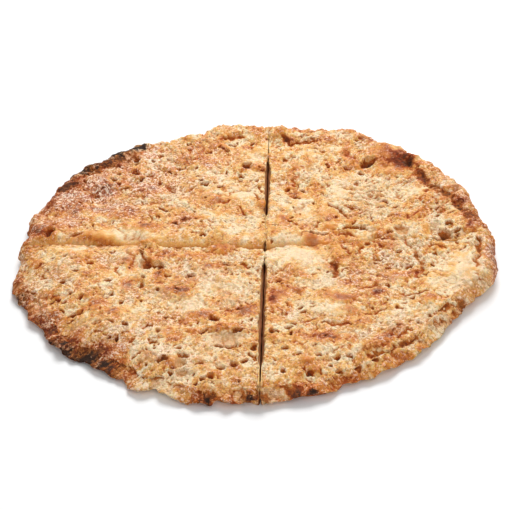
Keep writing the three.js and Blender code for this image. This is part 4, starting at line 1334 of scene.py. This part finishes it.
def paintQuarter(mesh, form, points):
    x, y = form.plan.T
    onTop = form.topShare
    onCut = (1 - onTop) * (1 - form.rimShare)
    onRim = (1 - onTop) * form.rimShare
    bare = onCut * (1 - form.softness)
    plain = 1 - 0.85 * ramp(sample(sheets["toastMarks"], x, y), 0.15, 0.4)
    doughy = form.softness * (1 - form.rimShare) * ramp(1 - onTop, 0.01, 0.3) * plain
    # painted shade on the bottom of a soft shoulder, where it turns down into the cut: browner, darker and
    # less pale there
    lower = doughy * ramp(np.clip(1 - points[:, 2] / 10, 0, 1), 0.2, 0.45)
    # cavity gives painted shade in the dips of the crust and of the walls
    cavity = sample(sheets["cavity"], x, y) * onTop - 0.45 * form.wall * (1 - onTop)
    cavity *= 1 - 0.5 * doughy
    toast = sample(sheets["toast"], x, y)
    toast += doughy * (0.7 * (0.38 - toast)) + 0.30 * lower
    uneven = hashNoise(points, 2.6, 90) + hashNoise(points, 1.3, 91) - 1
    light = np.clip(alongRim(turnOf(form.plan), "light"), 0, 1)
    toast += onRim * (0.08 + 0.5 * uneven - 0.22 * light)
    dark = sample(sheets["dark"], x, y) * (1 - 0.7 * onCut) + 0.18 * lower + 0.35 * lower * onCut
    dark = dark + 0.25 * onRim * (1 - 0.7 * light) * np.clip(uneven, 0, 1)
    patchy = 0.5 + 0.8 * ramp(hashNoise(points, 3.2, 95), 0.25, 0.7)
    pale = sample(sheets["pale"], x, y) * (1 - onRim) * (1 - 0.9 * lower) + 0.08 * (doughy - lower)
    paint(mesh, "toast", toast * (1 - 0.8 * bare))
    paint(mesh, "dark", dark)
    paint(mesh, "char", sample(sheets["char"], x, y) * (1 - onCut) * (1 + onRim * (patchy - 1)))
    paint(mesh, "pale", pale)
    paint(mesh, "pink", sample(sheets["pink"], x, y) * (1 - onCut))
    paint(mesh, "smooth", np.maximum(sample(sheets["smooth"], x, y), 0.6 * doughy))
    paint(mesh, "cavity", 0.5 + 0.5 * cavity)
    paint(mesh, "cut", bare)
    # sunk: how far below the crust's edge a point lies; the cut walls take painted shade from it
    paint(mesh, "sunk", ramp(form.edgeHeight - points[:, 2], 0.6, 2.4))


def tone(text):  # a colour as it looks, to the linear one that the nodes want
    values = [int(text[i : i + 2], 16) / 255 for i in (1, 3, 5)]
    return tuple(((v + 0.055) / 1.055) ** 2.4 if v > 0.04045 else v / 12.92 for v in values) + (1.0,)


tones = {
    "dough": tone("#F4DBB0"),
    "golden": tone("#F0BA68"),
    "orange": tone("#E0903A"),
    "toasted": tone("#C06A28"),
    "brown": tone("#8A5028"),
    "burnt": tone("#38251C"),
    "dark": tone("#5E3A2A"),
    "rose": tone("#C07A50"),
    # light grains, partly a painted highlight for glints of oil and sugar
    "grainGlint": tone("#FBE6CF"),
    "crumb": tone("#BE8450"),
    "flour": tone("#EACDA4"),
    # painted shade for flour that lies deep
    "deepFlourShade": tone("#DAA867"),
    # painted shade in dips, creases and dark spots
    "hollow": tone("#CC8C4E"),
    "layers": tone("#A06434"),
    # painted shade deep in the cuts
    "cutShade": tone("#94582E"),
    "floor": tone("#F4F4F4"),
}


def plugIn(tree, socket, value):
    if isinstance(value, bpy.types.NodeSocket):
        tree.links.new(value, socket)
    else:
        socket.default_value = value


def put(tree, kind, values=None, **settings):
    made = tree.nodes.new(kind)
    for name, value in settings.items():
        setattr(made, name, value)
    for name, value in (values or {}).items():
        plugIn(tree, made.inputs[name], value)
    return made


def calculate(tree, operation, a, b=0.0, clamp=False):
    made = put(tree, "ShaderNodeMath", {0: a, 1: b}, operation=operation, use_clamp=clamp)
    return made.outputs[0]


def times(tree, value, factor, clamp=False):
    return calculate(tree, "MULTIPLY", value, factor, clamp)


def stretched(tree, value, away, factor, clamp=False):  # (value - away) * factor
    return times(tree, calculate(tree, "SUBTRACT", value, away), factor, clamp)


def summed(tree, first, *others, clamp=False):
    for other in others[:-1]:
        first = calculate(tree, "ADD", first, other)
    return calculate(tree, "ADD", first, others[-1], clamp)


def blendColour(tree, share, under, over, way="MIX"):
    made = put(tree, "ShaderNodeMix", data_type="RGBA", blend_type=way, clamp_factor=True)
    for index, value in ((0, share), (6, under), (7, over)):  # the colour inputs of the node
        plugIn(tree, made.inputs[index], value)
    return made.outputs[2]


def colourRamp(tree, value, stops):
    made = put(tree, "ShaderNodeValToRGB", {"Fac": value})
    band = made.color_ramp
    while len(band.elements) < len(stops):
        band.elements.new(0.5)
    for element, (position, colour) in zip(band.elements, stops):
        element.position = position
        element.color = colour
    return made.outputs["Color"]


def startGroup(name, inputs, outputs):
    tree = bpy.data.node_groups.new(name, "ShaderNodeTree")
    for label, kind, value in inputs:
        socket = tree.interface.new_socket(name=label, in_out="INPUT", socket_type=kind)
        if value is not None:
            socket.default_value = value
    for label, kind in outputs:
        tree.interface.new_socket(name=label, in_out="OUTPUT", socket_type=kind)
    return tree, tree.nodes.new("NodeGroupInput"), tree.nodes.new("NodeGroupOutput")


grains = {  # how fine each texture of the crumb is
    "noise": 700.0,
    "patches": 130.0,
    "crumbs": 900.0,
    "dust": 1700.0,
}


def cells(tree, where, scale):  # round grains, and a random brightness for each
    made = put(tree, "ShaderNodeTexVoronoi", {"Vector": where, "Scale": scale})
    brightness = put(tree, "ShaderNodeSeparateColor", {"Color": made.outputs["Color"]})
    return made.outputs["Distance"], brightness.outputs[0]


def unevenness(tree, where, scale, detail=3.0):
    values = {"Vector": where, "Scale": scale, "Detail": detail, "Roughness": 0.6}
    return put(tree, "ShaderNodeTexNoise", values).outputs["Fac"]


def makeGrainGroup():  # crumbs of the crust: light and dark specks, wide patches, and their height
    inputs = [("Place", "NodeSocketVector", None), ("Size", "NodeSocketFloat", 1.0)]
    outputs = [("Specks", "NodeSocketFloat"), ("Patches", "NodeSocketFloat"), ("Height", "NodeSocketFloat")]
    tree, entry, leave = startGroup("crumbGrain", inputs, outputs)
    place = put(tree, "ShaderNodeVectorMath", {0: entry.outputs["Place"]}, operation="SCALE")
    tree.links.new(entry.outputs["Size"], place.inputs["Scale"])
    where = place.outputs[0]
    crumbHeight, crumbTone = cells(tree, where, grains["crumbs"])
    _, dustTone = cells(tree, where, grains["dust"])
    specks = summed(tree, times(tree, crumbTone, 0.55), times(tree, dustTone, 0.45))
    high = summed(tree, specks, unevenness(tree, where, grains["noise"]))
    height = calculate(tree, "SUBTRACT", high, times(tree, crumbHeight, 0.6))
    tree.links.new(specks, leave.inputs["Specks"])
    tree.links.new(unevenness(tree, where, grains["patches"]), leave.inputs["Patches"])
    tree.links.new(height, leave.inputs["Height"])
    return tree


def bakeDough(tree, give, speckle):  # from pale dough to brown, and pinkish where the heat came from above
    patches = stretched(tree, give["Patches"], 0.5, 0.35)
    # dips move along the tones toward brown: partly browner crust, partly painted shade
    cavity = stretched(tree, give["Cavity"], 0.5, 0.3)
    baked = summed(tree, give["Toast"], times(tree, speckle, 0.16), patches, cavity, clamp=True)
    colour = colourRamp(tree, baked, [
        (0.0, tones["dough"]),
        (0.24, tones["golden"]),
        (0.55, tones["orange"]),
        (0.82, tones["toasted"]),
        (1.0, tones["brown"]),
    ])
    return blendColour(tree, times(tree, give["Pink"], 0.42), colour, tones["rose"])


def addGrainsAndGlints(tree, give, speckle, colour):  # light grains with a painted highlight for glints of oil and sugar on them, and brown crumbs, more where the crust is pinkish
    glintShare = summed(tree, speckle, times(tree, give["Pink"], 0.20), -0.13)
    glintShare = times(tree, glintShare, 6.0, True)
    glintShare = times(tree, glintShare, summed(tree, times(tree, give["Pink"], 0.32), 0.50))
    colour = blendColour(tree, glintShare, colour, tones["grainGlint"])
    crumbs = summed(tree, times(tree, speckle, -1.0), times(tree, give["Pink"], 0.12), -0.17)
    crumbs = times(tree, times(tree, crumbs, 5.0, True), 0.70)
    return blendColour(tree, crumbs, colour, tones["crumb"], "MULTIPLY")


def addFlourAndDeepShade(tree, give, speckle, colour):  # flour and bare dough; where it lies deep it gets painted shade, a darker warmer tone
    flour = calculate(tree, "SUBTRACT", stretched(tree, give["Pale"], 0.25, 1.15), speckle, True)
    sunk = stretched(tree, give["Cavity"], 0.55, 2.0, True)
    flourWithShade = blendColour(tree, sunk, tones["flour"], tones["deepFlourShade"])
    colour = blendColour(tree, times(tree, flour, 0.75), colour, flourWithShade)
    brightness = summed(tree, times(tree, speckle, 0.36), 1.0)
    return put(tree, "ShaderNodeHueSaturation", {"Color": colour, "Value": brightness}).outputs[0]


def addDark(tree, give, speckle, colour):  # painted shade in dips and creases, dark spots that are partly browned crust and partly painted shade, and char
    darkShare = times(tree, give["Dark"], summed(tree, times(tree, speckle, -0.7), 1.0), True)
    hollow = stretched(tree, give["Cavity"], 0.54, 2.4, True)
    hollow = times(tree, hollow, stretched(tree, give["Pale"], 0.9, -1.0), True)
    hollow = summed(tree, hollow, times(tree, darkShare, 2.2), clamp=True)
    colour = blendColour(tree, hollow, colour, tones["hollow"], "MULTIPLY")
    colour = blendColour(tree, stretched(tree, darkShare, 0.22, 1.28, True), colour, tones["dark"])
    charShare = stretched(tree, summed(tree, give["Char"], times(tree, speckle, -0.5)), 0.28, 2.2, True)
    charShare = times(tree, charShare, calculate(tree, "GREATER_THAN", give["Char"], 0.02))
    return blendColour(tree, charShare, colour, tones["burnt"])


def makeBakeGroup():  # the colours that the oven gives the dough, with painted shade in dips, creases and slits and a painted highlight for glints on light grains
    names = ["Toast", "Dark", "Char", "Pale", "Pink", "Cavity", "Specks", "Patches", "Smooth"]
    inputs = [(name, "NodeSocketFloat", 0.0) for name in names]
    tree, entry, leave = startGroup("bakedColoursShadeAndGlints", inputs, [("Color", "NodeSocketColor")])
    give = entry.outputs
    roughShare = stretched(tree, give["Smooth"], 1.25, -0.8)
    speckle = times(tree, stretched(tree, give["Specks"], 0.5, 1.0), roughShare)
    colour = bakeDough(tree, give, speckle)
    colour = addGrainsAndGlints(tree, give, speckle, colour)
    colour = addFlourAndDeepShade(tree, give, speckle, colour)
    colour = addDark(tree, give, speckle, colour)
    tree.links.new(colour, leave.inputs["Color"])
    return tree


def attribute(tree, name):
    return put(tree, "ShaderNodeAttribute", attribute_name=name).outputs["Fac"]


def startMaterial(name, roughness):
    material = bpy.data.materials.new(name)
    material.use_nodes = True
    tree = material.node_tree
    tree.nodes.clear()
    shader = put(tree, "ShaderNodeBsdfPrincipled", {"Roughness": roughness, "IOR": 1.42})
    result = put(tree, "ShaderNodeOutputMaterial")
    tree.links.new(shader.outputs[0], result.inputs["Surface"])
    return material, tree, shader


def addGrain(tree, groups, place, size):
    return put(tree, "ShaderNodeGroup", {"Place": place, "Size": size}, node_tree=groups["grain"])


def addBake(tree, shader, groups, grainNode, values):
    bake = put(tree, "ShaderNodeGroup", values, node_tree=groups["bake"])
    for name in ("Specks", "Patches"):
        tree.links.new(grainNode.outputs[name], bake.inputs[name])
    tree.links.new(bake.outputs["Color"], shader.inputs["Base Color"])


def addBump(tree, shader, height, strength, distance):
    values = {"Height": height, "Strength": strength, "Distance": distance}
    bump = put(tree, "ShaderNodeBump", values)
    tree.links.new(bump.outputs["Normal"], shader.inputs["Normal"])


crustFinish = {
    "Specular IOR Level": 0.3,
    "Subsurface Weight": 0.3,
    "Subsurface Radius": (1.0, 0.45, 0.2),
    "Subsurface Scale": 0.002,
}


def makeCrust(groups):
    material, tree, shader = startMaterial("bakedCrust", 0.55)
    place = put(tree, "ShaderNodeTexCoord").outputs["Object"]
    grainNode = addGrain(tree, groups, place, 1.0)
    names = ("Toast", "Dark", "Char", "Pale", "Pink", "Cavity", "Smooth")
    addBake(tree, shader, groups, grainNode, {name: attribute(tree, name.lower()) for name in names})
    wet = stretched(tree, grainNode.outputs["Patches"], 0.45, 0.9)
    burnt = summed(tree, attribute(tree, "dark"), attribute(tree, "char"), clamp=True)
    rough = calculate(tree, "SUBTRACT", summed(tree, 0.46, burnt), wet, True)
    tree.links.new(rough, shader.inputs["Roughness"])
    roughShare = summed(tree, times(tree, attribute(tree, "smooth"), -0.75), 1.0)
    addBump(tree, shader, times(tree, grainNode.outputs["Height"], roughShare), 0.7, 0.0006)
    for name, value in crustFinish.items():
        shader.inputs[name].default_value = value
    return material


def makeCut(groups):
    material, tree, shader = startMaterial("cutLayers", 0.7)
    place = put(tree, "ShaderNodeTexCoord").outputs["Object"]
    squeezed = put(tree, "ShaderNodeMapping", {"Vector": place, "Scale": (0.25, 0.25, 2.4)}).outputs[0]
    grainNode = addGrain(tree, groups, squeezed, 0.8)
    share = stretched(tree, grainNode.outputs["Specks"], 0.4, 3.0, True)
    colour = blendColour(tree, share, tones["golden"], tones["layers"])
    # painted shade deeper down in the cut, from the sunk attribute
    colour = blendColour(tree, attribute(tree, "sunk"), colour, tones["cutShade"])
    tree.links.new(colour, shader.inputs["Base Color"])
    addBump(tree, shader, grainNode.outputs["Height"], 0.6, 0.0006)
    return material


def makeBase(groups):
    material, tree, shader = startMaterial("ovenBase", 0.7)
    place = put(tree, "ShaderNodeTexCoord").outputs["Object"]
    grainNode = addGrain(tree, groups, place, 0.7)
    blotch = unevenness(tree, place, 45.0, 4.0)
    toast = stretched(tree, blotch, 0.25, 1.4, True)
    scorch = stretched(tree, blotch, 0.58, 3.5, True)
    addBake(tree, shader, groups, grainNode, {"Toast": toast, "Cavity": 0.5, "Dark": scorch})
    addBump(tree, shader, grainNode.outputs["Height"], 0.5, 0.0005)
    return material


def readNumbers(items, name, kind):
    values = np.empty(len(items), kind)
    items.foreach_get(name, values)
    return values


def giveMaterials(mesh, ring, way, materials):  # crust on top and over the rim, cut walls, and the base
    for material in materials:
        mesh.materials.append(material)
    corners = readNumbers(mesh.loops, "vertex_index", np.int32)
    starts = readNumbers(mesh.polygons, "loop_start", np.int32)
    bare = readNumbers(mesh.attributes["cut"].data, "value", np.float32)
    lowest = np.minimum(ring[corners[starts]], ring[corners[starts + 2]])
    index = np.zeros(len(starts), np.int32)
    index[(lowest >= way["rollRings"] - 1) & (bare[corners[starts]] > 0.5)] = 1
    index[lowest >= way["rollRings"] + way["wallRings"]] = 2
    mesh.polygons.foreach_set("material_index", index)
    mesh.polygons.foreach_set("use_smooth", index != 1)
    mesh.update()


def makeQuarter(node, choices, materials):
    way = {**quarterWay, **choices}
    way["corners"] = readQuarter(node, way["diagonal"])
    piece = startQuarter("dressed_" + node, way)
    form, points = shapeQuarter(piece.data, node, way)
    paintQuarter(piece.data, form, points)
    giveMaterials(piece.data, form.ring, way, materials)
    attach(piece, "root")
    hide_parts(node)
    print(f"{piece.name}: {len(piece.data.polygons)} faces")


groups = {"grain": makeGrainGroup(), "bake": makeBakeGroup()}
materials = [makeCrust(groups), makeCut(groups), makeBase(groups)]
print(f"materials: {', '.join(material.name for material in materials)}")
for node, choices in quarters.items():
    makeQuarter(node, choices, materials)

studio = {
    "floor": {"size": 6.0, "drop": 0.0002},
    "worldStrength": 0.42,
    "key": {"place": (0.15, 0.95, 0.95), "size": 1.0, "power": 17.5},
    "fill": {"place": (0.2, -1.0, 0.9), "size": 1.4, "power": 6.0},
}
view = {
    "lookAt": (-0.0008, -0.0015, 0.006),
    "elevation": 35.26,
    "distance": 1.1,
    "roll": 2.27,
    "lens": 151.5,
    "sensor": 36,
}


def makeFloor(size, drop):
    bpy.ops.object.select_all(action="DESELECT")
    bpy.ops.mesh.primitive_plane_add(size=size, location=(0, 0, -drop))
    floor = bpy.context.object
    floor.name = "studio_floor"
    material, _, shader = startMaterial("paleFloor", 0.5)
    shader.inputs["Base Color"].default_value = tones["floor"]
    floor.data.materials.append(material)


def makeLight(name, place, size, power):
    bpy.ops.object.light_add(type="AREA", location=place)
    light = bpy.context.object
    light.name = name
    light.data.shape = "DISK"
    light.data.size = size
    light.data.energy = power
    light.rotation_euler = (-Vector(place)).to_track_quat("-Z", "Y").to_euler()


def makeWorld():
    world = bpy.data.worlds.new("studioWorld")
    bpy.context.scene.world = world
    world.use_nodes = True
    background = world.node_tree.nodes["Background"]
    background.inputs["Color"].default_value = (1, 1, 1, 1)
    background.inputs["Strength"].default_value = studio["worldStrength"]


def makeCamera():
    target = Vector(view["lookAt"])
    rise = math.radians(view["elevation"])
    place = target + view["distance"] * Vector((0, -math.cos(rise), math.sin(rise)))
    bpy.ops.object.camera_add(location=place)
    camera = bpy.context.object
    camera.name = "studio_camera"
    camera.data.lens = view["lens"]
    camera.data.sensor_width = view["sensor"]
    turn = (target - place).to_track_quat("-Z", "Y").to_matrix().to_4x4()
    turn = turn @ Matrix.Rotation(math.radians(-view["roll"]), 4, Vector((0, 0, 1)))
    camera.rotation_euler = turn.to_euler()
    bpy.context.scene.camera = camera


print("studio: floor, lights and camera")
makeFloor(**studio["floor"])
makeLight("key_light", **studio["key"])
makeLight("fill_light", **studio["fill"])
makeWorld()
makeCamera()
bpy.context.scene.view_settings.view_transform = "Standard"
